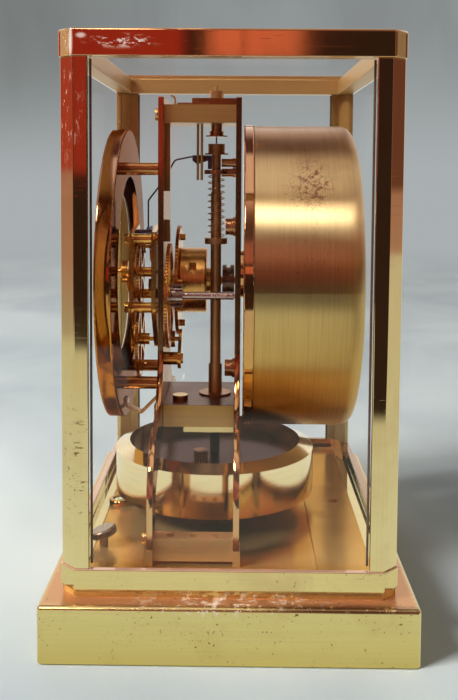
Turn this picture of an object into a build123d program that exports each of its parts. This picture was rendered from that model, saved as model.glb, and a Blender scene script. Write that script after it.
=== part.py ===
from build123d import *
import math
import os

# Atmospheric clock: a glazed brass case round a torsion pendulum, its going train and a bellows drum.
# Millimetres. Z is up from the table, X runs left to right as seen from the dial, the dial faces -Y.
os.makedirs("parts", exist_ok=True)

# Case
case_width = 175.2
case_depth = 127.6
corner_chamfer = 5.75
case_ledge = 0.5
pillar_leg = 11.0
pillar_wall = 2.2
pillar_height = 191.4
rail_height = 7.9
rail_wall = 8.4
cap_height = 10.1
cap_lip = 3.0
cap_edge_round = 0.9
glass_thickness = 1.8
glass_clearance = 0.2
door_clearance = 0.3

# Base
base_width = 190.2
base_depth = 142.6
base_side_height = 20.2
base_shoulder_round = 1.6
base_corner_round = 2.2
base_step_height = 3.2
base_step_inset = 0.8
base_step_cove = 0.5
base_wall = 3.0
foot_stand = 0.6
foot_radius = 9.0
foot_disc_height = 4.0
foot_screw_radius = 3.0
foot_screw_length = 9.5
foot_inset = 17.0
foot_boss_radius = 6.5
fit_clearance = 0.05

# Floor
floor_thickness = 2.4
rear_strip_height = 1.0
rear_strip_y = 34.5
key_hole_radius = 2.4
key_hole_y = 47.7
level_radius = 5.6
level_height = 2.6
level_rim = 0.8
level_x = 3.0
level_front_room = 8.6
knob_side_room = 31.6
knob_front_room = 7.5
knob_tilt = 18.0
knob_radius = 5.4
knob_thickness = 3.4
knob_stem_radius = 1.7
knob_stem_length = 5.8
knob_edge_round = 1.1

# Movement frame
plate_thickness = 2.5
front_plate_y = -32.8
rear_plate_y = 1.2
plate_half_width = 21.2
plate_top_room = 9.5
plate_shoulder_z = 104.0
leg_side_room = 11.6
leg_width = 12.0
leg_bend_z = 50.0
arch_top_z = 69.4
leg_foot_height = 6.2
leg_foot_grow = 0.9
top_block_half_width = 18.0
top_block_room = 20.5
top_block_height = 7.9
bottom_block_half_width = 22.8
bottom_block_height = 9.8
bottom_block_bottom_z = 70.0
top_plate_thickness = 3.2
top_plate_length = 19.6
top_plate_half_width = 14.0
tongue_length = 7.2
tongue_thickness = 1.8
tongue_half_width = 4.0
foot_block_width = 7.8
foot_block_inset = 2.0
foot_block_height = 9.0
foot_block_lift = 1.3
foot_block_hole_radius = 1.8
foot_hole_share = 0.29
foot_block_hole_depth = 4.0
lock_plate_half_width = 21.0
lock_plate_depth = 22.6
lock_plate_thickness = 2.8
screw_head_radius = 2.9
screw_head_height = 2.2
screw_slot_width = 0.6
screw_slot_depth = 0.6
guard_x = 4.0
guard_width = 4.0
guard_thickness = 1.7
guard_top_length = 30.4
guard_low_drop = 53.4
guard_low_length = 10.0
stop_pin_radius = 0.6
stop_pin_length = 25.4
stop_pin_y = -16.3
stop_pin_spacing = 1.8
hook_pin_radius = 0.45
hook_pin_y = -26.8
hook_pin_rise = 3.2
hook_pin_bend = 2.0

# Suspension and pendulum, all on one upright axis
axis_y = -7.8
wire_width = 0.7
wire_thickness = 0.25
tube_radius = 2.45
tube_upper_radius = 2.05
tube_bore_radius = 1.2
tube_cap_radius = 3.8
tube_cap_height = 4.3
tube_cap_drop = 8.8
tube_tab_radius = 5.4
tube_tab_thickness = 0.6
tube_step_drop = 30.8
collar_radius = 5.2
collar_height = 2.7
collar_drop = 51.9
sleeve_radius = 3.1
sleeve_top_z = 94.0
tube_foot_radius = 7.4
tube_foot_thickness = 0.8
clamp_drop = 22.6
clamp_thickness = 1.9
clamp_radius = 5.6
clamp_screw_radius = 1.9
clamp_screw_head_radius = 2.2
clamp_screw_head_length = 1.5
clamp_screw_reach = 6.6
clamp_screw_drop = 21.9
clamp_screw_spacing = 4.5
guide_radius = 3.9
guide_flange_radius = 4.5
guide_flange_length = 1.2
guide_reach = 4.6
guide_upper_drop = 46.7
guide_lower_z = 91.9
spring_radius = 3.75
spring_wire_radius = 0.22
spring_turns = 10
spring_quarter_parts = 4
head_boss_radius = 2.55
head_boss_drop = 5.6
head_bulge_radius = 3.2
head_prong_radius = 5.0
head_prong_thickness = 0.6
nut_radius = 3.2
nut_height = 4.2
top_pin_radius = 0.5
top_pin_length = 2.4
pendulum_radius = 45.75
pendulum_bottom_z = 36.8
pendulum_wall_top_z = 56.0
pendulum_bevel_rise = 3.0
pendulum_inner_radius = 39.5
pendulum_disc_z = 52.6
pendulum_floor = 2.5
pendulum_hub_radius = 2.2
pendulum_core_radius = 8.8
pendulum_hub_top_z = 64.2
weight_knob_radius = 3.3
weight_knob_height = 5.2
weight_circle_radius = 17.0
weight_knob_angle = -20.0
lift_plate_radius = 16.0
lift_plate_thickness = 2.2
lift_plate_z = 30.2
lift_pin_radius = 3.0
lift_pin_length = 12.2

# Dial and hands
dial_centre_share = 0.4
dial_centre_base = 59.84
dial_ring_radius = 65.6
dial_ring_back_y = -47.5
dial_ring_depth = 7.0
dial_bezel_wall = 7.4
dial_edge_round = 0.8
dial_flange_depth = 3.7
dial_flange_inner_radius = 44.0
dial_plate_inner_radius = 36.8
dial_plate_thickness = 1.0
dial_plate_gap = 0.2
marker_length = 9.0
marker_width = 2.2
marker_height = 0.3
marker_side_angle = 84.0
marker_circle_radius = 47.6
dial_post_radius = 2.8
dial_post_x = 18.4
dial_post_dz = 47.6
strap_width = 5.0
strap_thickness = 1.0
strap_x = 15.6
strap_low_y = -40.4
strap_low_dz = -61.6
strap_ring_dz = -58.6
strap_plate_dz = -54.4
strap_tab_height = 3.2
minute_hand_length = 46.0
hour_hand_length = 33.0
hand_width = 4.2
hand_thickness = 0.6
hand_boss_radius = 3.4
hand_gap = 0.5
minute_hand_y = -57.2
centre_arbor_radius = 0.9
hour_pipe_wall = 0.8
centre_hub_radius = 2.3

# Train: teeth and modules, with the directions from one arbor to the next in degrees
great_teeth = 80
second_pinion_teeth = 15
second_teeth = 92
third_pinion_teeth = 14
third_teeth = 68
centre_teeth = 56
escape_pinion_teeth = 12
cannon_teeth = 12
minute_teeth = 36
minute_pinion_teeth = 10
hour_teeth = 40
great_module = 0.64
train_module = 0.5
cannon_module = 0.27
hour_module = cannon_module * (cannon_teeth + minute_teeth) / (minute_pinion_teeth + hour_teeth)
third_angle = -88.0
second_angle = 57.0
barrel_angle = 173.5
escape_angle = 140.0
pallet_angle = 45.0
minute_angle = -30.0
wheel_thickness = 1.4
great_wheel_thickness = 1.5
tooth_tip_share = 0.62
tooth_root_share = 1.15
tooth_root_width_share = 0.44
tooth_tip_width_share = 0.2
spoke_count = 5
spoke_width_share = 0.13
rim_inner_share = 0.84
hub_share = 0.26
pivot_radius = 1.0
arbor_radius = 1.75
wheel_gap = 0.5
third_pinion_length = 3.4
third_hub_radius = 2.7
third_hub_length = 3.7

# Barrel and winding
barrel_radius = 15.5
barrel_length = 12.6
barrel_wall_round = 0.8
barrel_hook_hole = 3.4
barrel_hook_rise = 7.9
barrel_arbor_radius = 2.5
barrel_pivot_radius = 1.7
ratchet_radius = 5.8
ratchet_length = 1.8
screw_circle_radius = 20.5
barrel_screw_angle = 94.0
barrel_screw_radius = 1.6
barrel_screw_height = 2.2
pulley_radius = 7.5
pulley_groove = 1.2
pulley_length = 5.6

# Small front frame of the escapement
bridge_thickness = 2.1
bridge_front_y = -45.9
bridge_rear_y = -36.0
bridge_pillar_radius = 2.4
bridge_margin = 3.4
bridge_bush_dz = -6.3
bridge_bush_radius = 3.2
bridge_bush_length = 2.7
bridge_pillar_x = 15.0
bridge_upper_dz = 16.3
bridge_lower_dz = -14.4
bridge_far_x = -17.0
bridge_far_dz = -12.4
escape_radius = 7.5
escape_wheel_teeth = 15
escape_wheel_y = -39.2
escape_wheel_thickness = 0.8
escape_tooth_share = 0.74
pallet_distance = 10.5
pallet_span = 5.2
pallet_drop = 2.0
pallet_thickness = 1.2
crutch_radius = 0.4
crutch_bend_radius = 2.4
crutch_low_share = 0.418
crutch_plate_share = 0.648
crutch_plate_gap = 0.6
crutch_bend_share = 0.957
crutch_bend_reach = 3.1
crutch_end_drop = 14.75
crutch_end_reach = 10.2
crutch_tip_length = 2.0
crutch_slot_width = 6.0
crutch_slot_length = 12.0
crutch_slot_share = 0.751
fork_length = 9.4
fork_height = 3.4
fork_leg_length = 2.2
fork_leg_height = 5.6
fork_thickness = 0.6
cock_thickness = 1.5
cock_screw_height = 0.9
cock_front_y = -24.6
cock_half_width = 4.6
cock_post_radius = 2.9
cock_screw_radius = 2.3
cock_post_x = 8.5
cock_post_dz = -7.6

# Bellows drum
drum_size_share = 0.35684
drum_low_room = 39.6
drum_flange_y = 4.7
drum_flange_depth = 4.5
drum_back_y = 53.0
drum_back_round = 5.5
drum_wall = 1.2
drum_flange_round = 0.7
drum_groove = 0.35
drum_cover_thickness = 1.6
drum_mount_radius = 11.0
bellows_room = 8.3
bellows_fold_depth = 4.0
bellows_folds = 5
bellows_length = 28.0
bellows_wall = 2.0
bellows_head_thickness = 1.6
bellows_stem_radius = 5.0
bellows_stem_length = 9.0
bellows_travel = 3.0

# Shared small values
overrun = 2.0
hand_tail_share = 0.22
hand_tip_share = 0.12
slot_across_share = 2.4

# Heights and depths that follow
rim_z = foot_stand
shoulder_z = rim_z + base_side_height
base_top_z = shoulder_z + base_shoulder_round
rail_bottom_z = base_top_z + base_step_height
rail_top_z = rail_bottom_z + rail_height
cap_bottom_z = rail_top_z + pillar_height
cap_top_z = cap_bottom_z + cap_height
floor_z = rail_bottom_z + floor_thickness
front_plate_back_y = front_plate_y + plate_thickness
rear_plate_back_y = rear_plate_y + plate_thickness
frame_gap = rear_plate_y - front_plate_back_y
bottom_block_top_z = bottom_block_bottom_z + bottom_block_height
top_block_bottom_z = cap_bottom_z - top_block_room
top_block_top_z = top_block_bottom_z + top_block_height
plate_top_z = cap_bottom_z - plate_top_room
guard_low_bottom_z = top_block_bottom_z - guard_low_drop
rail_width = case_width + 2 * case_ledge
rail_depth = case_depth + 2 * case_ledge
pane_x = case_width / 2 - pillar_wall - glass_thickness
pane_y = case_depth / 2 - pillar_wall - glass_thickness
leg_foot_z = floor_z + leg_foot_height
leg_outer_x = pane_x - leg_side_room
leg_inner_x = leg_outer_x - leg_width
foot_block_outer_x = leg_outer_x - foot_block_inset
foot_block_inner_x = foot_block_outer_x - foot_block_width
knob_x = pane_x - knob_side_room
knob_y = knob_front_room - pane_y
level_y = level_front_room - pane_y
head_boss_bottom_z = top_block_bottom_z - head_boss_drop
tube_cap_top_z = top_block_bottom_z - tube_cap_drop
tube_cap_bottom_z = tube_cap_top_z - tube_cap_height
clamp_bottom_z = top_block_bottom_z - clamp_drop
clamp_screw_z = top_block_bottom_z - clamp_screw_drop
tube_step_z = top_block_bottom_z - tube_step_drop
guide_upper_z = top_block_bottom_z - guide_upper_drop
collar_top_z = top_block_bottom_z - collar_drop
collar_bottom_z = collar_top_z - collar_height
dial_centre_z = dial_centre_base + dial_centre_share * pillar_height
drum_radius = drum_size_share * pillar_height
drum_centre_z = floor_z + drum_low_room + drum_radius
bellows_radius = drum_radius - bellows_room

# Arbor places in the X and Z plane
great_pitch = great_module * great_teeth / 2
second_pinion_pitch = great_module * second_pinion_teeth / 2
second_pitch = train_module * second_teeth / 2
third_pinion_pitch = train_module * third_pinion_teeth / 2
third_pitch = train_module * third_teeth / 2
centre_pitch = train_module * centre_teeth / 2
escape_pinion_pitch = train_module * escape_pinion_teeth / 2
minute_reach = cannon_module * (cannon_teeth + minute_teeth) / 2


def step_from(place, reach, direction):
    turn = math.radians(direction)
    return (place[0] + reach * math.cos(turn), place[1] + reach * math.sin(turn))


centre_at = (0, dial_centre_z)
third_at = step_from(centre_at, centre_pitch + third_pitch, third_angle)
second_at = step_from(third_at, third_pinion_pitch + second_pitch, second_angle)
barrel_at = step_from(second_at, second_pinion_pitch + great_pitch, barrel_angle)
escape_at = step_from(centre_at, centre_pitch + escape_pinion_pitch, escape_angle)
pallet_at = step_from(escape_at, pallet_distance, pallet_angle)
minute_at = step_from(centre_at, minute_reach, minute_angle)
cock_post_at = (cock_post_x, third_at[1] + cock_post_dz)
crutch_rise = top_block_bottom_z - crutch_end_drop - pallet_at[1]


def mesh_phase(phase, teeth, other_teeth, direction):
    """Phase of a wheel that meshes with another one that lies in the given direction from it."""
    return direction + 180 - (180 - (direction - phase) * teeth) / other_teeth


second_to_third = second_angle + 180
third_to_centre = third_angle + 180
great_to_second = barrel_angle + 180
great_phase = great_to_second
second_pinion_phase = mesh_phase(great_phase, great_teeth, second_pinion_teeth, great_to_second)
second_phase = second_to_third
third_pinion_phase = mesh_phase(second_phase, second_teeth, third_pinion_teeth, second_to_third)
third_phase = third_to_centre
centre_phase = mesh_phase(third_phase, third_teeth, centre_teeth, third_to_centre)
escape_pinion_phase = mesh_phase(centre_phase, centre_teeth, escape_pinion_teeth, escape_angle)
cannon_phase = minute_angle
minute_phase = mesh_phase(cannon_phase, cannon_teeth, minute_teeth, minute_angle)
minute_pinion_phase = minute_angle + 180
hour_phase = mesh_phase(minute_pinion_phase, minute_pinion_teeth, hour_teeth, minute_angle + 180)


def front_facing(y, place):
    """Sketch plane at a depth, with X to the right and Z up, looking out at the front."""
    return Plane(origin=(place[0], y, place[1]), x_dir=(1, 0, 0), z_dir=(0, -1, 0))


def upright(z, x=0, y=0):
    return Plane(origin=(x, y, z))


def add_turned(place, steps, mode=Mode.ADD):
    """Discs on an arbor that lies front to back: each step is radius, front and rear depth."""
    for radius, front, rear in steps:
        with BuildSketch(front_facing(rear, place)) as disc:
            Circle(radius)
        extrude(disc.sketch, amount=rear - front, mode=mode)


def add_upright(x, y, steps, mode=Mode.ADD):
    """Discs on an upright axis: each step is radius, bottom and top height."""
    for radius, bottom, top in steps:
        with BuildSketch(upright(bottom, x, y)) as disc:
            Circle(radius)
        extrude(disc.sketch, amount=top - bottom, mode=mode)


def tooth_points(teeth, module, phase):
    pitch_radius = module * teeth / 2
    tip = pitch_radius + tooth_tip_share * module
    root = pitch_radius - tooth_root_share * module
    step = 360 / teeth
    half_root = step * tooth_root_width_share / 2
    half_tip = step * tooth_tip_width_share / 2
    points = []
    for i in range(teeth):
        middle = phase + i * step
        for radius, angle in ((root, middle - half_root), (tip, middle - half_tip),
                              (tip, middle + half_tip), (root, middle + half_root)):
            turn = math.radians(angle)
            points.append((radius * math.cos(turn), radius * math.sin(turn)))
    return points


def add_gear(place, teeth, module, phase, front, rear):
    with BuildSketch(front_facing(rear, place)) as wheel:
        with BuildLine():
            Polyline(*tooth_points(teeth, module, phase), close=True)
        make_face()
    extrude(wheel.sketch, amount=rear - front)


def cut_spokes(place, pitch_radius, front, rear):
    """Openings between the spokes of a wheel."""
    rim_radius = pitch_radius * rim_inner_share
    with BuildSketch(front_facing(rear + overrun, place)) as openings:
        Circle(rim_radius)
        Circle(pitch_radius * hub_share, mode=Mode.SUBTRACT)
        with PolarLocations(rim_radius / 2, spoke_count):
            Rectangle(rim_radius, pitch_radius * spoke_width_share, mode=Mode.SUBTRACT)
    extrude(openings.sketch, amount=rear - front + 2 * overrun, mode=Mode.SUBTRACT)


def add_screw(place, head_face, toward, radius=screw_head_radius, height=screw_head_height):
    """Slotted cheese head on a face square to Y. Toward is -1 for a head on the front side."""
    outer = head_face + toward * height
    low, high = min(head_face, outer), max(head_face, outer)
    add_turned(place, [(radius, low, high)])
    slot_floor = outer - toward * screw_slot_depth
    cut_low, cut_high = min(slot_floor, outer + toward * overrun), max(slot_floor, outer + toward * overrun)
    with BuildSketch(front_facing(cut_high, place)) as slot:
        Rectangle(slot_across_share * radius, screw_slot_width)
    extrude(slot.sketch, amount=cut_high - cut_low, mode=Mode.SUBTRACT)


def save(name, part):
    part.label = name
    export_step(part, f"parts/{name}.step")


# Base: hollow shell with rounded shoulders, a gilt step, foot bosses and a fixed rear foot
foot_x = base_width / 2 - foot_inset
foot_y = base_depth / 2 - foot_inset
base_roof_z = base_top_z - base_wall
step_width = rail_width - 2 * base_step_inset
step_depth = rail_depth - 2 * base_step_inset
with BuildPart() as base_plinth:
    with BuildSketch(upright(rim_z)):
        RectangleRounded(base_width, base_depth, base_corner_round)
    extrude(amount=base_top_z - rim_z)
    fillet(base_plinth.faces().sort_by(Axis.Z)[-1].edges(), radius=base_shoulder_round - fit_clearance)
    with BuildSketch(upright(base_top_z)) as gilt_step:
        Rectangle(step_width, step_depth)
        chamfer(gilt_step.vertices(), length=corner_chamfer)
    extrude(amount=base_step_height)
    with BuildSketch(upright(rim_z - overrun)):
        Rectangle(base_width - 2 * base_wall, base_depth - 2 * base_wall)
    extrude(amount=base_roof_z - rim_z + overrun, mode=Mode.SUBTRACT)
    foot_boss_z = foot_disc_height + wheel_gap
    for side in (-1, 1):
        add_upright(side * foot_x, -foot_y, [(foot_boss_radius, foot_boss_z, base_roof_z)])
        add_upright(side * foot_x, -foot_y,
                    [(foot_screw_radius + fit_clearance, foot_boss_z - overrun, base_roof_z - base_wall)],
                    mode=Mode.SUBTRACT)
    add_upright(0, axis_y,
                [(lift_pin_radius + fit_clearance, base_roof_z - overrun, rail_bottom_z + overrun)],
                mode=Mode.SUBTRACT)
    add_upright(0, foot_y, [(foot_radius, 0, foot_disc_height),
                            (foot_boss_radius, foot_disc_height, base_roof_z)])
    fillet(base_plinth.faces().sort_by(Axis.Z)[0].edges(), radius=foot_stand)
save("base_plinth", base_plinth.part)

for name, side in (("foot_left", -1), ("foot_right", 1)):
    with BuildPart() as foot:
        add_upright(side * foot_x, -foot_y,
                    [(foot_radius, 0, foot_disc_height),
                     (foot_screw_radius, foot_disc_height, foot_disc_height + foot_screw_length)])
        fillet(foot.faces().sort_by(Axis.Z)[0].edges(), radius=foot_stand)
    save(name, foot.part)


def add_ring_prism(width, depth, wall, bottom, top):
    """Rectangular frame with chamfered outer corners and a plain opening."""
    with BuildSketch(upright(bottom)) as outline:
        Rectangle(width, depth)
        chamfer(outline.vertices(), length=corner_chamfer)
        Rectangle(width - 2 * wall, depth - 2 * wall, mode=Mode.SUBTRACT)
    extrude(outline.sketch, amount=top - bottom)


# The panes stand on a ledge inside the rail, so its pocket follows the inside of the pillars
inner_chamfer = corner_chamfer - pillar_wall * (2 - math.sqrt(2))
with BuildPart() as bottom_rail:
    add_ring_prism(rail_width, rail_depth, rail_wall, rail_bottom_z, rail_top_z)
    with BuildSketch(upright(floor_z)) as pocket:
        Rectangle(2 * (pane_x + glass_thickness), 2 * (pane_y + glass_thickness))
        chamfer(pocket.vertices(), length=inner_chamfer)
    extrude(amount=rail_height, mode=Mode.SUBTRACT)
save("bottom_rail", bottom_rail.part)

with BuildPart() as cap_frame:
    add_ring_prism(rail_width, rail_depth, rail_wall, cap_bottom_z, cap_top_z)
    outer_top = cap_frame.faces().sort_by(Axis.Z)[-1].outer_wire().edges()
    fillet(outer_top, radius=cap_edge_round)
    glass_seat_z = cap_top_z - glass_thickness - case_ledge
    with BuildSketch(upright(glass_seat_z)):
        Rectangle(rail_width - 2 * rail_wall + 2 * cap_lip, rail_depth - 2 * rail_wall + 2 * cap_lip)
    extrude(amount=cap_height, mode=Mode.SUBTRACT)
save("cap_frame", cap_frame.part)

with BuildPart() as top_glass:
    with BuildSketch(upright(glass_seat_z)):
        Rectangle(rail_width - 2 * rail_wall + 2 * cap_lip - 2 * glass_clearance,
                  rail_depth - 2 * rail_wall + 2 * cap_lip - 2 * glass_clearance)
    extrude(amount=glass_thickness)
save("top_glass", top_glass.part)

# Corner pillars: one angle section, mirrored to the four corners
for name, sx, sy in (("pillar_front_left", -1, -1), ("pillar_front_right", 1, -1),
                     ("pillar_rear_left", -1, 1), ("pillar_rear_right", 1, 1)):
    outer_x, outer_y = case_width / 2, case_depth / 2
    wall_x, wall_y = outer_x - pillar_wall, outer_y - pillar_wall
    corners = [(outer_x - pillar_leg, outer_y), (outer_x - corner_chamfer, outer_y),
               (outer_x, outer_y - corner_chamfer), (outer_x, outer_y - pillar_leg),
               (wall_x, outer_y - pillar_leg), (wall_x, wall_y - inner_chamfer),
               (wall_x - inner_chamfer, wall_y), (outer_x - pillar_leg, wall_y)]
    with BuildPart() as pillar:
        with BuildSketch(upright(rail_top_z)):
            with BuildLine():
                Polyline(*[(sx * x, sy * y) for x, y in corners], close=True)
            make_face()
        extrude(amount=pillar_height)
    save(name, pillar.part)

# Panes stand behind the pillar legs, on the floor of the rail
side_pane_width = case_depth - 2 * (pillar_wall + inner_chamfer + glass_clearance)
front_pane_width = case_width - 2 * (pillar_wall + inner_chamfer + glass_clearance)
pane_bottom_z = floor_z + door_clearance
pane_height = cap_bottom_z - pane_bottom_z - door_clearance
for name, side in (("side_glass_left", -1), ("side_glass_right", 1)):
    with BuildPart() as side_glass:
        with BuildSketch(upright(pane_bottom_z, side * (pane_x + glass_thickness / 2))):
            Rectangle(glass_thickness, side_pane_width)
        extrude(amount=pane_height)
    save(name, side_glass.part)

with BuildPart() as rear_glass:
    with BuildSketch(upright(pane_bottom_z, 0, pane_y + glass_thickness / 2)):
        Rectangle(front_pane_width, glass_thickness)
    extrude(amount=pane_height)
save("rear_glass", rear_glass.part)

# The front pane drops between the pillar legs, so that it comes off forwards
door_width = case_width - 2 * pillar_leg - 2 * door_clearance
door_bottom_z = rail_top_z + door_clearance
door_height = pillar_height - 2 * door_clearance
door_y = -case_depth / 2 + case_ledge
with BuildPart() as front_glass:
    with BuildSketch(upright(door_bottom_z, 0, door_y + glass_thickness / 2)):
        Rectangle(door_width, glass_thickness)
    extrude(amount=door_height)
save("front_glass", front_glass.part)

# Floor of the case, with its raised rear strip
floor_half_x = rail_width / 2 - rail_wall
floor_half_y = rail_depth / 2 - rail_wall
with BuildPart() as floor_plate:
    with BuildSketch(upright(rail_bottom_z)):
        Rectangle(2 * (floor_half_x - fit_clearance), 2 * (floor_half_y - fit_clearance))
    extrude(amount=floor_thickness)
    with BuildSketch(upright(floor_z, 0, (rear_strip_y + floor_half_y - fit_clearance) / 2)):
        Rectangle(2 * (floor_half_x - fit_clearance), floor_half_y - fit_clearance - rear_strip_y)
    extrude(amount=rear_strip_height)
    add_upright(0, key_hole_y, [(key_hole_radius, floor_z, floor_z + 2 * rear_strip_height)],
                mode=Mode.SUBTRACT)
    add_upright(0, axis_y, [(lift_pin_radius + fit_clearance, rail_bottom_z - overrun, floor_z + overrun)],
                mode=Mode.SUBTRACT)
    add_upright(knob_x, knob_y, [(knob_stem_radius + fit_clearance, rail_bottom_z + floor_thickness / 2,
                                  floor_z + overrun)], mode=Mode.SUBTRACT)
save("floor_plate", floor_plate.part)

with BuildPart() as spirit_level:
    add_upright(level_x, level_y, [(level_radius, floor_z, floor_z + level_height)])
    fillet(spirit_level.faces().sort_by(Axis.Z)[-1].edges(), radius=level_rim)
    add_upright(level_x, level_y, [(level_radius - 2 * level_rim, floor_z + level_height / 2,
                                    floor_z + level_height + overrun)], mode=Mode.SUBTRACT)
save("spirit_level", spirit_level.part)

# Locking knob: a tilted disc on an upright stem
stem_foot_z = rail_bottom_z + floor_thickness / 2 + fit_clearance
with BuildPart() as lock_knob:
    add_upright(knob_x, knob_y, [(knob_stem_radius, stem_foot_z, floor_z + knob_stem_length)])
    knob_plane = Plane(origin=(knob_x, knob_y, floor_z + knob_stem_length)).rotated((knob_tilt, 0, 0))
    with BuildSketch(knob_plane.offset(-knob_thickness / 2)):
        Circle(knob_radius)
    extrude(amount=knob_thickness)
    rims = lock_knob.edges().filter_by(GeomType.CIRCLE).group_by(SortBy.RADIUS)[-1]
    fillet(rims, radius=knob_edge_round)
save("lock_knob", lock_knob.part)

with BuildPart() as lift_plate:
    add_upright(0, axis_y, [(lift_pin_radius, lift_plate_z - lift_pin_length, lift_plate_z),
                            (lift_plate_radius, lift_plate_z, lift_plate_z + lift_plate_thickness)])
save("lift_plate", lift_plate.part)


# Plates of the movement frame: narrow above, with legs that spread over the pendulum
def plate_outline():
    """Right half of the outer edge, then the left half, closed by the arch between the legs."""
    flare_x = plate_half_width + (leg_outer_x - plate_half_width) / 2
    flare_z = leg_bend_z + (plate_shoulder_z - leg_bend_z) / 2
    for side in (1, -1):
        Line((side * plate_half_width, plate_top_z), (side * plate_half_width, plate_shoulder_z))
        upper = TangentArc((side * plate_half_width, plate_shoulder_z), (side * flare_x, flare_z),
                           tangent=(0, -1))
        TangentArc((side * flare_x, flare_z), (side * leg_outer_x, leg_bend_z), tangent=upper % 1)
        Line((side * leg_outer_x, leg_bend_z), (side * leg_outer_x, leg_foot_z))
        Line((side * leg_outer_x, leg_foot_z), (side * leg_inner_x, leg_foot_z))
        Line((side * leg_inner_x, leg_foot_z), (side * leg_inner_x, leg_bend_z))
    ThreePointArc((leg_inner_x, leg_bend_z), (0, arch_top_z), (-leg_inner_x, leg_bend_z))
    Line((-plate_half_width, plate_top_z), (plate_half_width, plate_top_z))


bearings = ((barrel_at, barrel_pivot_radius), (second_at, pivot_radius), (centre_at, centre_arbor_radius))
with BuildPart() as front_plate:
    with BuildSketch(front_facing(front_plate_back_y, (0, 0))):
        with BuildLine():
            plate_outline()
        make_face()
    extrude(amount=plate_thickness)
    for place, radius in bearings:
        add_turned(place, [(radius + fit_clearance, front_plate_y - overrun, front_plate_back_y + overrun)],
                   mode=Mode.SUBTRACT)
    add_turned(third_at,
               [(pivot_radius + wheel_gap, front_plate_y - overrun, front_plate_back_y + overrun)],
               mode=Mode.SUBTRACT)
    with BuildSketch(front_facing(front_plate_back_y + overrun, pallet_at)):
        with Locations((0, crutch_rise * crutch_slot_share)):
            SlotOverall(crutch_slot_length, crutch_slot_width, rotation=90)
    extrude(amount=plate_thickness + 2 * overrun, mode=Mode.SUBTRACT)
save("front_plate", front_plate.part)

# Flat strips on the back of the front plate, beside the slot of the crutch
with BuildPart() as guard_strips:
    for length, low in ((guard_top_length, top_block_bottom_z - guard_top_length),
                        (guard_low_length, guard_low_bottom_z)):
        with BuildSketch(upright(low, guard_x, front_plate_back_y + guard_thickness / 2)):
            Rectangle(guard_width, guard_thickness)
        extrude(amount=length)
save("guard_strips", guard_strips.part)

with BuildPart() as rear_plate:
    with BuildSketch(front_facing(rear_plate_back_y, (0, 0))):
        with BuildLine():
            plate_outline()
        make_face()
    extrude(amount=plate_thickness)
    for place, radius in bearings[:2]:
        add_turned(place, [(radius + fit_clearance, rear_plate_y - overrun, rear_plate_back_y + overrun)],
                   mode=Mode.SUBTRACT)
save("rear_plate", rear_plate.part)


def add_block(half_width, bottom, top, front=front_plate_back_y, rear=rear_plate_y):
    with BuildSketch(upright(bottom, 0, (front + rear) / 2)) as block:
        Rectangle(2 * half_width, rear - front)
    extrude(block.sketch, amount=top - bottom)


wire_hole = tube_bore_radius
with BuildPart() as top_block:
    add_block(top_block_half_width, top_block_bottom_z, top_block_top_z)
    for y in (stop_pin_y, stop_pin_y + stop_pin_spacing):
        add_upright(0, y, [(stop_pin_radius, top_block_bottom_z - stop_pin_length, top_block_bottom_z)])
    with BuildLine() as hook_path:
        hook_bend_z = top_block_top_z + hook_pin_rise
        hook_rise = Line((0, hook_pin_y, top_block_top_z), (0, hook_pin_y, hook_bend_z))
        TangentArc(hook_rise @ 1, (0, hook_pin_y - hook_pin_bend, hook_bend_z + hook_pin_bend),
                   tangent=(0, 0, 1))
    with BuildSketch(upright(top_block_top_z, 0, hook_pin_y)):
        Circle(hook_pin_radius)
    sweep(path=hook_path.line)
    add_upright(0, axis_y, [(head_boss_radius + fit_clearance, top_block_bottom_z - overrun,
                             top_block_top_z + overrun)], mode=Mode.SUBTRACT)
save("top_block", top_block.part)

with BuildPart() as top_plate:
    add_block(top_plate_half_width, top_block_top_z, top_block_top_z + top_plate_thickness,
              front=rear_plate_y - top_plate_length)
    add_block(tongue_half_width, top_block_top_z, top_block_top_z + tongue_thickness,
              front=rear_plate_y - top_plate_length - tongue_length, rear=rear_plate_y - top_plate_length)
    add_upright(0, axis_y, [(head_boss_radius + fit_clearance, top_block_top_z - overrun,
                             top_block_top_z + top_plate_thickness + overrun)], mode=Mode.SUBTRACT)
save("top_plate", top_plate.part)

with BuildPart() as bottom_block:
    add_block(bottom_block_half_width, bottom_block_bottom_z, bottom_block_top_z)
    add_upright(0, axis_y, [(wire_hole, bottom_block_bottom_z - overrun, bottom_block_top_z + overrun)],
                mode=Mode.SUBTRACT)
save("bottom_block", bottom_block.part)

with BuildPart() as lock_plate:
    add_block(lock_plate_half_width, bottom_block_bottom_z - lock_plate_thickness, bottom_block_bottom_z,
              front=rear_plate_y - lock_plate_depth)
    add_upright(0, axis_y,
                [(pendulum_hub_radius + wheel_gap, bottom_block_bottom_z - 2 * lock_plate_thickness,
                  bottom_block_bottom_z + overrun)], mode=Mode.SUBTRACT)
save("lock_plate", lock_plate.part)

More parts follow.
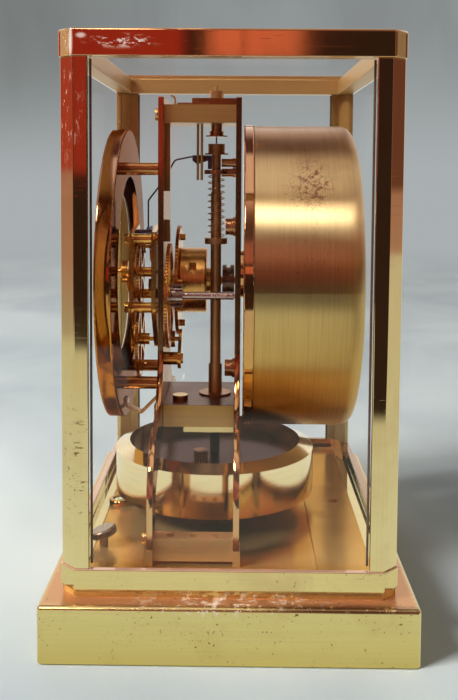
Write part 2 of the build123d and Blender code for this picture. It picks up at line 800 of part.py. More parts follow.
# Cross blocks between the legs, with the gilt feet under the legs
block_low_z = floor_z + foot_block_lift
block_depth = rear_plate_y - front_plate_back_y
hole_spacing = block_depth * foot_hole_share
with BuildPart() as foot_blocks:
    for side in (-1, 1):
        block_x = side * (foot_block_inner_x + foot_block_outer_x) / 2
        with BuildSketch(upright(block_low_z, block_x, (front_plate_back_y + rear_plate_y) / 2)):
            Rectangle(foot_block_outer_x - foot_block_inner_x, block_depth)
        extrude(amount=foot_block_height)
        for spot in (-1, 0, 1):
            hole_y = (front_plate_back_y + rear_plate_y) / 2 + spot * hole_spacing
            with Locations((block_x, hole_y, block_low_z + foot_block_height)):
                Hole(foot_block_hole_radius, depth=foot_block_hole_depth)
        for front, rear in ((front_plate_y - leg_foot_grow, front_plate_back_y),
                            (rear_plate_y, rear_plate_back_y + leg_foot_grow / 2)):
            foot_middle_x = side * (foot_block_inner_x + leg_outer_x) / 2
            with BuildSketch(upright(floor_z, foot_middle_x, (front + rear) / 2)):
                Rectangle(leg_outer_x - foot_block_inner_x, rear - front)
            extrude(amount=leg_foot_height)
save("foot_blocks", foot_blocks.part)

with BuildPart() as plate_screws:
    for x in (-top_block_half_width / 2, top_block_half_width / 2):
        place = (x, top_block_bottom_z + top_block_height / 2)
        add_screw(place, front_plate_y, -1)
    for x in (-bottom_block_half_width / 2, bottom_block_half_width / 2):
        add_screw((x, bottom_block_bottom_z + bottom_block_height / 2), front_plate_y, -1)
    for side in (-1, 1):
        add_screw((side * (foot_block_inner_x + foot_block_outer_x) / 2,
                   leg_foot_z + screw_head_radius + fit_clearance), front_plate_y, -1)
    block_screw_y = front_plate_back_y + 2 * screw_head_radius + plate_thickness / 2
    block_screw_x = bottom_block_half_width / 2 + screw_slot_width
    add_upright(block_screw_x, block_screw_y,
                [(screw_head_radius + screw_slot_width, bottom_block_top_z,
                  bottom_block_top_z + screw_head_height)])
    for side in (-1, 1):
        add_upright(side * block_screw_x, axis_y - screw_head_radius,
                    [(screw_head_radius, bottom_block_bottom_z - lock_plate_thickness - screw_head_height,
                      bottom_block_bottom_z - lock_plate_thickness)])
save("plate_screws", plate_screws.part)

# Dial: open white ring in a heavy polished bezel, on four posts and a bent strap
dial_front_y = dial_ring_back_y - dial_ring_depth
flange_front_y = dial_ring_back_y - dial_flange_depth
bezel_inner_radius = dial_ring_radius - dial_bezel_wall
with BuildPart() as dial_ring:
    add_turned(centre_at, [(dial_ring_radius, dial_front_y, dial_ring_back_y)])
    fillet(dial_ring.edges().filter_by(GeomType.CIRCLE), radius=dial_edge_round)
    add_turned(centre_at, [(bezel_inner_radius, dial_front_y - overrun, flange_front_y),
                           (dial_flange_inner_radius, flange_front_y - overrun,
                            dial_ring_back_y + overrun)], mode=Mode.SUBTRACT)
save("dial_ring", dial_ring.part)

dial_face_y = flange_front_y - dial_plate_thickness
with BuildPart() as dial_plate:
    add_turned(centre_at, [(bezel_inner_radius - dial_plate_gap, dial_face_y, flange_front_y)])
    add_turned(centre_at, [(dial_plate_inner_radius, dial_face_y - overrun, flange_front_y + overrun)],
               mode=Mode.SUBTRACT)
save("dial_plate", dial_plate.part)

with BuildPart() as hour_markers:
    with BuildSketch(front_facing(dial_face_y, centre_at)):
        with PolarLocations(marker_circle_radius, 12):
            Trapezoid(marker_width, marker_length, marker_side_angle, rotation=-90)
    extrude(amount=marker_height)
save("hour_markers", hour_markers.part)

with BuildPart() as dial_supports:
    for side in (-1, 1):
        for rise in (-1, 1):
            add_turned((side * dial_post_x, dial_centre_z + rise * dial_post_dz),
                       [(dial_post_radius, dial_ring_back_y, front_plate_y)])
    strap_side = Plane(origin=(strap_x + strap_width / 2, 0, dial_centre_z),
                       x_dir=(0, 1, 0), z_dir=(1, 0, 0))
    strap_ring_y = dial_ring_back_y + strap_thickness / 2
    strap_plate_y = front_plate_y - strap_thickness / 2
    with BuildSketch(strap_side):
        with BuildLine():
            strap_middle = FilletPolyline((strap_ring_y, strap_ring_dz + strap_tab_height),
                                          (strap_ring_y, strap_ring_dz), (strap_low_y, strap_low_dz),
                                          (strap_plate_y, strap_plate_dz),
                                          (strap_plate_y, strap_plate_dz + strap_tab_height),
                                          radius=strap_thickness)
            offset(strap_middle, amount=strap_thickness / 2, side=Side.BOTH)
        make_face()
    extrude(amount=-strap_width)
save("dial_supports", dial_supports.part)


def add_hand(length, front, rear, bore):
    """Tapered hand that points up from the dial centre, with a round boss and a short tail."""
    tail = length * hand_tail_share
    with BuildSketch(front_facing(rear, centre_at)) as hand:
        with BuildLine():
            Polyline((-hand_width * hand_tip_share, length), (hand_width * hand_tip_share, length),
                     (hand_width / 2, tail), (hand_width / 4, -tail), (-hand_width / 4, -tail),
                     (-hand_width / 2, tail), close=True)
        make_face()
        Circle(hand_boss_radius)
        Circle(bore, mode=Mode.SUBTRACT)
    extrude(hand.sketch, amount=rear - front)


minute_hand_back_y = minute_hand_y + hand_thickness
hour_hand_y = minute_hand_back_y + hand_gap
hour_hand_back_y = hour_hand_y + hand_thickness
hour_pipe_radius = centre_arbor_radius + fit_clearance + hour_pipe_wall
with BuildPart() as minute_hand:
    add_hand(minute_hand_length, minute_hand_y, minute_hand_back_y, centre_arbor_radius)
save("minute_hand", minute_hand.part)

with BuildPart() as hour_hand:
    add_hand(hour_hand_length, hour_hand_y, hour_hand_back_y, hour_pipe_radius)
save("hour_hand", hour_hand.part)

# Motion work in front of the small frame: cannon pinion, minute wheel and its pinion, hour wheel
cannon_back_y = bridge_front_y - hand_gap
cannon_front_y = cannon_back_y - wheel_thickness
hour_wheel_back_y = cannon_front_y - hand_gap
hour_wheel_front_y = hour_wheel_back_y - 2 * wheel_thickness
with BuildPart() as hour_wheel:
    add_gear(centre_at, hour_teeth, hour_module, hour_phase, hour_wheel_front_y, hour_wheel_back_y)
    add_turned(centre_at, [(hour_pipe_radius, hour_hand_y, hour_wheel_front_y)])
    add_turned(centre_at, [(centre_arbor_radius + fit_clearance, hour_hand_y - overrun,
                            hour_wheel_back_y + overrun)], mode=Mode.SUBTRACT)
save("hour_wheel", hour_wheel.part)

with BuildPart() as minute_wheel:
    add_gear(minute_at, minute_teeth, cannon_module, minute_phase, cannon_front_y, cannon_back_y)
    add_gear(minute_at, minute_pinion_teeth, hour_module, minute_pinion_phase, hour_wheel_front_y,
             cannon_front_y)
    add_turned(minute_at, [(pivot_radius / 2, cannon_back_y, bridge_front_y + bridge_thickness / 2)])
save("minute_wheel", minute_wheel.part)

# Centre arbor with its wheel, which the third wheel drives and which drives the escape pinion
bridge_front_back_y = bridge_front_y + bridge_thickness
bridge_rear_back_y = bridge_rear_y + bridge_thickness
centre_wheel_front_y = bridge_front_back_y + wheel_gap
centre_wheel_rear_y = centre_wheel_front_y + wheel_thickness
with BuildPart() as centre_arbor:
    add_gear(centre_at, centre_teeth, train_module, centre_phase, centre_wheel_front_y, centre_wheel_rear_y)
    cut_spokes(centre_at, centre_pitch, centre_wheel_front_y, centre_wheel_rear_y)
    add_gear(centre_at, cannon_teeth, cannon_module, cannon_phase, cannon_front_y, cannon_back_y)
    add_turned(centre_at, [(centre_arbor_radius, minute_hand_y, front_plate_back_y),
                           (centre_hub_radius, centre_wheel_rear_y, bridge_rear_y - wheel_gap)])
save("centre_arbor", centre_arbor.part)

third_pinion_front_y = front_plate_back_y + wheel_gap
third_pinion_rear_y = third_pinion_front_y + third_pinion_length
with BuildPart() as third_wheel:
    add_gear(third_at, third_teeth, train_module, third_phase, centre_wheel_front_y, centre_wheel_rear_y)
    cut_spokes(third_at, third_pitch, centre_wheel_front_y, centre_wheel_rear_y)
    add_gear(third_at, third_pinion_teeth, train_module, third_pinion_phase, third_pinion_front_y,
             third_pinion_rear_y)
    add_turned(third_at, [(pivot_radius, bridge_front_y, cock_front_y + cock_thickness),
                          (third_hub_radius, centre_wheel_rear_y, centre_wheel_rear_y + third_hub_length)])
save("third_wheel", third_wheel.part)

second_wheel_front_y = front_plate_back_y + 3 * wheel_gap
second_wheel_rear_y = second_wheel_front_y + wheel_thickness
great_front_y = second_wheel_rear_y + 2 * wheel_gap
great_rear_y = great_front_y + great_wheel_thickness
pinion_front_y = second_wheel_rear_y + fit_clearance
pinion_rear_y = great_rear_y + 2 * wheel_thickness
with BuildPart() as second_pinion:
    add_gear(second_at, second_pinion_teeth, great_module, second_pinion_phase,
             pinion_front_y, pinion_rear_y)
    add_turned(second_at, [(pivot_radius, front_plate_y, second_wheel_front_y),
                           (arbor_radius, second_wheel_front_y, rear_plate_y - wheel_gap),
                           (pivot_radius, rear_plate_y - wheel_gap, rear_plate_back_y)])
save("second_pinion", second_pinion.part)

with BuildPart() as second_wheel:
    add_gear(second_at, second_teeth, train_module, second_phase, second_wheel_front_y, second_wheel_rear_y)
    cut_spokes(second_at, second_pitch, second_wheel_front_y, second_wheel_rear_y)
    add_turned(second_at, [(arbor_radius, second_wheel_front_y - overrun, second_wheel_rear_y + overrun)],
               mode=Mode.SUBTRACT)
save("second_wheel", second_wheel.part)

with BuildPart() as great_wheel:
    add_gear(barrel_at, great_teeth, great_module, great_phase, great_front_y, great_rear_y)
    with BuildSketch(front_facing(great_rear_y, barrel_at)):
        with PolarLocations(screw_circle_radius, 4, start_angle=barrel_screw_angle):
            Circle(barrel_screw_radius)
    extrude(amount=-barrel_screw_height)
    add_turned(barrel_at, [(barrel_arbor_radius, great_front_y - overrun, great_rear_y + overrun)],
               mode=Mode.SUBTRACT)
save("great_wheel", great_wheel.part)

barrel_rear_y = great_rear_y + barrel_length
ratchet_rear_y = barrel_rear_y + ratchet_length
pulley_rear_y = rear_plate_y - wheel_gap
pulley_front_y = pulley_rear_y - pulley_length
with BuildPart() as barrel:
    add_turned(barrel_at, [(barrel_radius, great_rear_y, barrel_rear_y)])
    fillet(barrel.edges().filter_by(GeomType.CIRCLE), radius=barrel_wall_round)
    add_turned(barrel_at, [(barrel_pivot_radius, front_plate_y, front_plate_back_y + wheel_gap),
                           (barrel_arbor_radius, front_plate_back_y + wheel_gap, great_rear_y),
                           (ratchet_radius, barrel_rear_y, ratchet_rear_y),
                           (barrel_arbor_radius, ratchet_rear_y, pulley_front_y - wheel_gap),
                           (barrel_pivot_radius, pulley_front_y - wheel_gap, rear_plate_back_y)])
    hook_plane = Plane(origin=(barrel_at[0], (great_rear_y + barrel_rear_y) / 2, barrel_at[1]),
                       x_dir=(0, 1, 0), z_dir=(1, 0, 0))
    with BuildSketch(hook_plane.offset(barrel_radius - 2 * barrel_hook_hole)):
        with Locations((0, barrel_hook_rise)):
            Rectangle(barrel_hook_hole, barrel_hook_hole)
    extrude(amount=2 * barrel_hook_hole, mode=Mode.SUBTRACT)
save("barrel", barrel.part)

# Winding pulley: grooved disc that the bellows chain turns, on the rear of the barrel arbor
with BuildPart() as winding_pulley:
    third = pulley_length / 3
    add_turned(barrel_at, [(pulley_radius, pulley_front_y, pulley_front_y + third),
                           (pulley_radius - pulley_groove, pulley_front_y + third, pulley_rear_y - third),
                           (pulley_radius, pulley_rear_y - third, pulley_rear_y)])
    add_turned(barrel_at, [(barrel_pivot_radius + fit_clearance, pulley_front_y - overrun,
                            pulley_rear_y + overrun)], mode=Mode.SUBTRACT)
save("winding_pulley", winding_pulley.part)

# Cock behind the front plate that carries the rear pivot of the third arbor
with BuildPart() as train_cock:
    with BuildSketch(front_facing(cock_front_y + cock_thickness, (0, 0))):
        for place in (third_at, cock_post_at):
            with Locations(place):
                Circle(cock_half_width)
        make_hull()
        with Locations(third_at):
            Circle(pivot_radius + fit_clearance, mode=Mode.SUBTRACT)
    extrude(amount=cock_thickness)
    add_turned(cock_post_at, [(cock_post_radius, front_plate_back_y, cock_front_y)])
    add_screw(cock_post_at, cock_front_y + cock_thickness, 1, radius=cock_screw_radius,
              height=cock_screw_height)
save("train_cock", train_cock.part)

# Small frame of the escapement
pillar_places = ((bridge_pillar_x, dial_centre_z + bridge_upper_dz),
                 (bridge_pillar_x, dial_centre_z + bridge_lower_dz),
                 (bridge_far_x, dial_centre_z + bridge_far_dz))
arbor_holes = ((centre_at, centre_arbor_radius), (third_at, pivot_radius), (escape_at, pivot_radius),
               (pallet_at, pivot_radius))


def add_bridge(front, rear):
    with BuildSketch(front_facing(rear, (0, 0))) as bridge:
        for place in pillar_places + (third_at, escape_at, pallet_at):
            with Locations(place):
                Circle(bridge_margin)
        make_hull()
        for place, radius in arbor_holes:
            with Locations(place):
                Circle(radius + fit_clearance, mode=Mode.SUBTRACT)
    extrude(bridge.sketch, amount=rear - front)


with BuildPart() as bridge_front:
    add_bridge(bridge_front_y, bridge_front_back_y)
    add_turned(minute_at, [(pivot_radius / 2 + fit_clearance, bridge_front_y - overrun,
                            bridge_front_y + bridge_thickness / 2 + fit_clearance)], mode=Mode.SUBTRACT)
save("bridge_front", bridge_front.part)

with BuildPart() as bridge_rear:
    add_bridge(bridge_rear_y, bridge_rear_back_y)
    for place in pillar_places:
        add_turned(place, [(bridge_pillar_radius, bridge_rear_back_y, front_plate_y)])
    add_turned((0, dial_centre_z + bridge_bush_dz),
               [(bridge_bush_radius, bridge_rear_y - bridge_bush_length, bridge_rear_y)])
save("bridge_rear", bridge_rear.part)

with BuildPart() as bridge_pillars:
    for place in pillar_places:
        add_turned(place, [(bridge_pillar_radius, bridge_front_back_y, bridge_rear_y)])
        add_screw(place, bridge_front_y, -1, radius=bridge_pillar_radius)
save("bridge_pillars", bridge_pillars.part)

with BuildPart() as escape_wheel:
    with BuildSketch(front_facing(escape_wheel_y + escape_wheel_thickness, escape_at)):
        with BuildLine():
            points = []
            for i in range(2 * escape_wheel_teeth):
                radius = escape_radius if i % 2 == 0 else escape_radius * escape_tooth_share
                turn = math.radians(escape_angle + 180 * i / escape_wheel_teeth)
                points.append((radius * math.cos(turn), radius * math.sin(turn)))
            Polyline(*points, close=True)
        make_face()
    extrude(amount=escape_wheel_thickness)
    cut_spokes(escape_at, escape_radius * escape_tooth_share, escape_wheel_y,
               escape_wheel_y + escape_wheel_thickness)
    add_gear(escape_at, escape_pinion_teeth, train_module, escape_pinion_phase,
             centre_wheel_front_y - fit_clearance, centre_wheel_rear_y + wheel_gap)
    add_turned(escape_at, [(pivot_radius, bridge_front_y, bridge_rear_back_y)])
save("escape_wheel", escape_wheel.part)

# Pallet lever: two short arms over the escape wheel, and the bent crutch wire up to the suspension
pallet_back_y = escape_wheel_y + pallet_thickness
wheel_direction = pallet_angle + 180
crutch_y = escape_wheel_y - crutch_radius
with BuildPart() as pallet_lever:
    add_turned(pallet_at, [(pivot_radius, bridge_front_y, bridge_rear_back_y),
                           (2 * pivot_radius, escape_wheel_y - 3 * crutch_radius, pallet_back_y)])
    turn = math.radians(wheel_direction)
    along_x, along_z = math.cos(turn), math.sin(turn)
    arms = ((0, pivot_radius), (pallet_drop, pallet_span), (2 * pallet_drop, pallet_span),
            (pallet_drop, 0), (2 * pallet_drop, -pallet_span), (pallet_drop, -pallet_span),
            (0, -pivot_radius))
    with BuildSketch(front_facing(pallet_back_y, pallet_at)):
        with BuildLine():
            Polyline(*[(along * along_x - across * along_z, along * along_z + across * along_x)
                       for along, across in arms], close=True)
        make_face()
    extrude(amount=pallet_thickness)
    pallet_x, pallet_z = pallet_at
    bend_y = front_plate_back_y + crutch_bend_reach
    end_y = front_plate_back_y + crutch_end_reach
    with BuildLine() as crutch_path:
        FilletPolyline((pallet_x, crutch_y, pallet_z + pivot_radius),
                       (pallet_x, crutch_y, pallet_z + crutch_rise * crutch_low_share),
                       (pallet_x, front_plate_y - crutch_plate_gap,
                        pallet_z + crutch_rise * crutch_plate_share),
                       (pallet_x, bend_y, pallet_z + crutch_rise * crutch_bend_share),
                       (pallet_x, end_y, pallet_z + crutch_rise),
                       (pallet_x, end_y + crutch_tip_length, pallet_z + crutch_rise),
                       radius=crutch_bend_radius)
    with BuildSketch(Plane(origin=crutch_path.line @ 0, z_dir=crutch_path.line % 0)):
        Circle(crutch_radius)
    sweep(path=crutch_path.line)
    fork_y = end_y + crutch_tip_length / 2
    fork_z = pallet_z + crutch_rise
    with BuildSketch(Plane(origin=(pallet_x - fork_thickness / 2, fork_y, fork_z), x_dir=(0, 1, 0),
                           z_dir=(1, 0, 0))):
        with BuildLine():
            Polyline((0, 2 * crutch_radius), (fork_length, 2 * crutch_radius),
                     (fork_length, -fork_leg_height),
                     (fork_length - fork_leg_length, -fork_leg_height),
                     (fork_length - fork_leg_length, -fork_height / 2), (fork_leg_length, -fork_height),
                     (0, -fork_height / 2), close=True)
        make_face()
    extrude(amount=fork_thickness)
save("pallet_lever", pallet_lever.part)

# Suspension: head under the top block, guard tube on the bottom block, spring round the tube
top_face_z = top_block_top_z + top_plate_thickness
nut_top_z = top_face_z + nut_height
prong_top_z = head_boss_bottom_z + head_prong_thickness
with BuildPart() as suspension_head:
    add_upright(0, axis_y, [(head_boss_radius, head_boss_bottom_z, top_face_z),
                            (head_bulge_radius, prong_top_z, head_boss_bottom_z + head_boss_radius),
                            (head_prong_radius, head_boss_bottom_z, prong_top_z),
                            (nut_radius, top_face_z, nut_top_z),
                            (top_pin_radius, nut_top_z, nut_top_z + top_pin_length)])
save("suspension_head", suspension_head.part)

tube_foot_z = bottom_block_top_z
with BuildPart() as suspension_tube:
    add_upright(0, axis_y, [(tube_foot_radius, tube_foot_z, tube_foot_z + tube_foot_thickness),
                            (sleeve_radius, tube_foot_z + tube_foot_thickness, sleeve_top_z),
                            (tube_radius, sleeve_top_z, tube_step_z),
                            (tube_upper_radius, tube_step_z, tube_cap_bottom_z),
                            (collar_radius, collar_bottom_z, collar_top_z),
                            (tube_tab_radius, tube_cap_bottom_z - tube_tab_thickness, tube_cap_bottom_z),
                            (tube_cap_radius, tube_cap_bottom_z, tube_cap_top_z)])
    add_upright(0, axis_y, [(tube_bore_radius, tube_foot_z - overrun, tube_cap_top_z + overrun)],
                mode=Mode.SUBTRACT)
save("suspension_tube", suspension_tube.part)

wire_top_z = head_boss_bottom_z
with BuildPart() as suspension_wire:
    with BuildSketch(upright(pendulum_hub_top_z, 0, axis_y)):
        Rectangle(wire_thickness, wire_width)
    extrude(amount=wire_top_z - pendulum_hub_top_z - fit_clearance)
save("suspension_wire", suspension_wire.part)


def coil_point(turn_share, pitch, bottom):
    turn = 2 * math.pi * turn_share
    return Vector(spring_radius * math.cos(turn), axis_y + spring_radius * math.sin(turn),
                  bottom + pitch * turn_share)


def coil_direction(turn_share, pitch):
    turn = 2 * math.pi * turn_share
    around = 2 * math.pi * spring_radius
    return Vector(-around * math.sin(turn), around * math.cos(turn), pitch).normalized()


def add_biarc(start, end, start_direction, end_direction):
    """Two arcs that leave one point and reach the next along the given directions."""
    across = end - start
    both = start_direction + end_direction
    square = 2 * start_direction.dot(end_direction) - 2
    slope = -2 * across.dot(both)
    reach = (-slope - math.sqrt(slope * slope - 4 * square * across.dot(across))) / (2 * square)
    near = start + start_direction * reach
    far = end - end_direction * reach
    middle = (near + far) * 0.5
    TangentArc(start, middle, tangent=start_direction)
    TangentArc(middle, end, tangent=(far - near).normalized())


spring_bottom_z = collar_top_z + 2 * spring_wire_radius
spring_top_z = clamp_bottom_z - 2 * spring_wire_radius
spring_pitch = (spring_top_z - spring_bottom_z) / spring_turns
quarters = spring_turns * spring_quarter_parts
with BuildPart() as tube_spring:
    with BuildLine() as coil:
        first, last = coil_direction(0, spring_pitch), coil_direction(spring_turns, spring_pitch)
        start_point = coil_point(0, spring_pitch, spring_bottom_z)
        end_point = coil_point(spring_turns, spring_pitch, spring_bottom_z)
        Line(start_point - first * 2 * spring_wire_radius, start_point)
        for i in range(quarters):
            here, there = i / spring_quarter_parts, (i + 1) / spring_quarter_parts
            add_biarc(coil_point(here, spring_pitch, spring_bottom_z),
                      coil_point(there, spring_pitch, spring_bottom_z),
                      coil_direction(here, spring_pitch), coil_direction(there, spring_pitch))
        Line(end_point, end_point + last * 2 * spring_wire_radius)
    with BuildSketch(Plane(origin=coil.line @ 0, z_dir=coil.line % 0)):
        Circle(spring_wire_radius)
    sweep()
save("tube_spring", tube_spring.part)

samples = 24
spring_points = [coil_point(i / samples, spring_pitch, spring_bottom_z)
                 for i in range(spring_turns * samples + 1)]
least_gap = min((spring_points[i] - spring_points[j]).length
                for i in range(len(spring_points)) for j in range(i + samples // 2, len(spring_points)))
print(f"spring: least gap between turns {least_gap - 2 * spring_wire_radius:.2f} mm")

# Brackets on the rear plate: clamp round the upper tube with its two screws, and two dark buffers
with BuildPart() as tube_brackets:
    with BuildSketch(upright(clamp_bottom_z)):
        with Locations((0, axis_y)):
            Circle(clamp_radius)
        with Locations((0, (axis_y + rear_plate_y) / 2)):
            Rectangle(clamp_radius, rear_plate_y - axis_y)
        with Locations((0, axis_y)):
            Circle(tube_upper_radius + fit_clearance, mode=Mode.SUBTRACT)
    extrude(amount=clamp_thickness)
    clamp_screw_head_y = rear_plate_y - clamp_screw_head_length
    for rise in (clamp_screw_z, clamp_screw_z + clamp_screw_spacing):
        add_turned((0, rise), [(clamp_screw_radius, rear_plate_y - clamp_screw_reach, rear_plate_y),
                               (clamp_screw_head_radius, clamp_screw_head_y, rear_plate_y)])
    for rise in (guide_upper_z, guide_lower_z):
        add_turned((0, rise), [(guide_radius, rear_plate_y - guide_reach, rear_plate_y),
                               (guide_flange_radius, rear_plate_y - guide_flange_length, rear_plate_y)])
save("tube_brackets", tube_brackets.part)

# Pendulum: brass wall with a bevelled shoulder, dark disc set inside, copper balance knob
with BuildPart() as pendulum_rim:
    with BuildSketch(Plane(origin=(0, axis_y, 0), x_dir=(1, 0, 0), z_dir=(0, -1, 0))):
        with BuildLine():
            Polyline((pendulum_inner_radius, pendulum_bottom_z), (pendulum_radius, pendulum_bottom_z),
                     (pendulum_radius, pendulum_wall_top_z),
                     (pendulum_inner_radius, pendulum_wall_top_z + pendulum_bevel_rise), close=True)
        make_face()
    revolve(axis=Axis((0, axis_y, 0), (0, 0, 1)))
save("pendulum_rim", pendulum_rim.part)

with BuildPart() as pendulum_disc:
    disc_radius = pendulum_inner_radius - fit_clearance
    add_upright(0, axis_y, [(disc_radius, pendulum_disc_z - pendulum_floor, pendulum_disc_z),
                            (pendulum_hub_radius, pendulum_disc_z, pendulum_hub_top_z),
                            (disc_radius, pendulum_bottom_z, pendulum_bottom_z + pendulum_floor),
                            (pendulum_core_radius, pendulum_bottom_z, pendulum_disc_z)])
save("pendulum_disc", pendulum_disc.part)

with BuildPart() as pendulum_knob:
    knob_at_x, knob_at_y = step_from((0, axis_y), weight_circle_radius, weight_knob_angle)
    add_upright(knob_at_x, knob_at_y,
                [(weight_knob_radius, pendulum_disc_z, pendulum_disc_z + weight_knob_height)])
save("pendulum_knob", pendulum_knob.part)

# Bellows drum behind the movement
drum_at = (0, drum_centre_z)
flange_back_y = drum_flange_y + drum_flange_depth
shell_radius = drum_radius - drum_groove
with BuildPart() as drum_shell:
    add_turned(drum_at, [(shell_radius, flange_back_y, drum_back_y)])
    fillet(drum_shell.faces().sort_by(Axis.Y)[-1].edges(), radius=drum_back_round)
    with BuildSketch(front_facing(drum_back_y - drum_wall, drum_at)):
        Circle(shell_radius - drum_back_round)
    extrude(amount=drum_back_y - drum_wall - flange_back_y + overrun, mode=Mode.SUBTRACT)
    with BuildSketch(front_facing(drum_back_y - drum_back_round, drum_at)):
        Circle(shell_radius - drum_wall)
    extrude(amount=drum_back_y - drum_back_round - flange_back_y + overrun, mode=Mode.SUBTRACT)
save("drum_shell", drum_shell.part)

with BuildPart() as drum_cover:
    add_turned(drum_at, [(drum_radius, drum_flange_y, flange_back_y)])
    fillet(drum_cover.edges().filter_by(GeomType.CIRCLE), radius=drum_flange_round)
    add_turned(drum_at,
               [(shell_radius - drum_wall, drum_flange_y + drum_cover_thickness, flange_back_y + overrun)],
               mode=Mode.SUBTRACT)
    add_turned(drum_at, [(drum_mount_radius, rear_plate_back_y, drum_flange_y)])
save("drum_cover", drum_cover.part)

# Bellows: folded can on the back wall, with a head that moves forwards as the gas expands
capsule_back_y = drum_back_y - drum_wall
capsule_front_y = capsule_back_y - bellows_length
capsule_bore_radius = bellows_radius - bellows_fold_depth - bellows_wall
fold_length = bellows_length / bellows_folds / 2
guide_length = bellows_stem_length + bellows_travel
with BuildPart() as bellows_capsule:
    folds = []
    for i in range(2 * bellows_folds):
        radius = bellows_radius if i % 2 == 0 else bellows_radius - bellows_fold_depth
        folds.append((radius, capsule_front_y + i * fold_length, capsule_front_y + (i + 1) * fold_length))
    add_turned(drum_at, folds)
    add_turned(drum_at, [(capsule_bore_radius, capsule_front_y + bellows_wall, capsule_back_y + overrun)],
               mode=Mode.SUBTRACT)
    add_turned(drum_at,
               [(bellows_stem_radius + bellows_wall, capsule_front_y, capsule_front_y + guide_length)])
    add_turned(drum_at, [(bellows_stem_radius + fit_clearance, capsule_front_y - overrun,
                          capsule_front_y + guide_length + overrun)], mode=Mode.SUBTRACT)
save("bellows_capsule", bellows_capsule.part)

head_back_y = capsule_front_y - bellows_travel - door_clearance
with BuildPart() as bellows_head:
    add_turned(drum_at, [(bellows_radius, head_back_y - bellows_head_thickness, head_back_y),
                         (bellows_stem_radius, head_back_y, capsule_front_y + bellows_stem_length)])
save("bellows_head", bellows_head.part)
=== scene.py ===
import bpy
import bmesh
import math
from mathutils import Matrix, Vector


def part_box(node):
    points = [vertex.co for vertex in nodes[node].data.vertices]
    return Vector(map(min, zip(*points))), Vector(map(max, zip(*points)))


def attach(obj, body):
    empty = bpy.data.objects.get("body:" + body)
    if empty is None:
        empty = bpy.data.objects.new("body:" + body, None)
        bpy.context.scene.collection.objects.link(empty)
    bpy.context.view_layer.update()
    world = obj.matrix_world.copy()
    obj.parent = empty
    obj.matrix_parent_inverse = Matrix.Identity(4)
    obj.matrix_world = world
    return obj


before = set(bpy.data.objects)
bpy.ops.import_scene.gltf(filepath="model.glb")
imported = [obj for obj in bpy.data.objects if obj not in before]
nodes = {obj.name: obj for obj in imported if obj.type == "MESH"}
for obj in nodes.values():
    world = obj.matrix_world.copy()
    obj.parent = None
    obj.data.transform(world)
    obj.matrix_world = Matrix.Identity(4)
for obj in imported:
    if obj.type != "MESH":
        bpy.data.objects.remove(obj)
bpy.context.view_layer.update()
print("frame loaded:", len(nodes), "nodes")

reliefDepth = 0.0003
turnedStretch = 2.0
metalGrain = 2200.0
scratchGrain = (90.0, 90.0, 3200.0)
cloudScale, fineScale, smudgeScale, pitScale = 38.0, 900.0, 24.0, 620.0


def linear(hexColour):
    # "c8a060" as a linear colour for a shader
    parts = [int(hexColour[i:i + 2], 16) / 255 for i in (0, 2, 4)]
    return tuple(c / 12.92 if c <= 0.04045 else ((c + 0.055) / 1.055) ** 2.4 for c in parts) + (1.0,)


def newMaterial(name):
    material = bpy.data.materials.new(name)
    material.use_nodes = True
    tree = material.node_tree
    shader = tree.nodes["Principled BSDF"]
    return material, tree, shader


def put(tree, value, socket):
    # a number, a colour or another node's output goes into a socket
    if isinstance(value, bpy.types.NodeSocket):
        tree.links.new(value, socket)
    else:
        socket.default_value = value


def maths(tree, operation, a, b=0.0, clamp=False):
    node = tree.nodes.new("ShaderNodeMath")
    node.operation = operation
    node.use_clamp = clamp
    for socket, value in zip(node.inputs, (a, b)):
        put(tree, value, socket)
    return node.outputs[0]


def vectorMaths(tree, operation, a, b=(0.0, 0.0, 0.0)):
    node = tree.nodes.new("ShaderNodeVectorMath")
    node.operation = operation
    put(tree, a, node.inputs[0])
    put(tree, b, node.inputs[1])
    return node.outputs["Value"] if operation == "LENGTH" else node.outputs[0]


def spread(tree, value, low, high, toLow=0.0, toHigh=1.0, smooth=True):
    node = tree.nodes.new("ShaderNodeMapRange")
    node.interpolation_type = "SMOOTHSTEP" if smooth else "LINEAR"
    for socket, number in zip(node.inputs, (value, low, high, toLow, toHigh)):
        put(tree, number, socket)
    return node.outputs[0]


def blendColour(tree, factor, a, b, way="MIX"):
    node = tree.nodes.new("ShaderNodeMix")
    node.data_type = "RGBA"
    node.blend_type = way
    put(tree, factor, node.inputs[0])
    put(tree, a, node.inputs[6])
    put(tree, b, node.inputs[7])
    return node.outputs[2]


def ramp(tree, factor, stops):
    # colour stops along a 0 to 1 factor
    node = tree.nodes.new("ShaderNodeValToRGB")
    put(tree, factor, node.inputs[0])
    elements = node.color_ramp.elements
    elements[0].position, elements[0].color = stops[0]
    elements[1].position, elements[1].color = stops[-1]
    for place, colour in stops[1:-1]:
        elements.new(place).color = colour
    return node.outputs[0]


def twoTones(tree, factor, tones, low=0.3, high=0.7):
    # from one tone to the other as the factor rises
    return ramp(tree, factor, [(low, linear(tones[0])), (high, linear(tones[1]))])


def mixShaders(tree, factor, first, second):
    node = tree.nodes.new("ShaderNodeMixShader")
    for socket, value in zip(node.inputs, (factor, first, second)):
        put(tree, value, socket)
    return node.outputs[0]


def addRelief(tree, shader, height, strength):
    bump = tree.nodes.new("ShaderNodeBump")
    bump.inputs["Strength"].default_value = strength
    bump.inputs["Distance"].default_value = reliefDepth
    put(tree, height, bump.inputs["Height"])
    put(tree, bump.outputs[0], shader.inputs["Normal"])


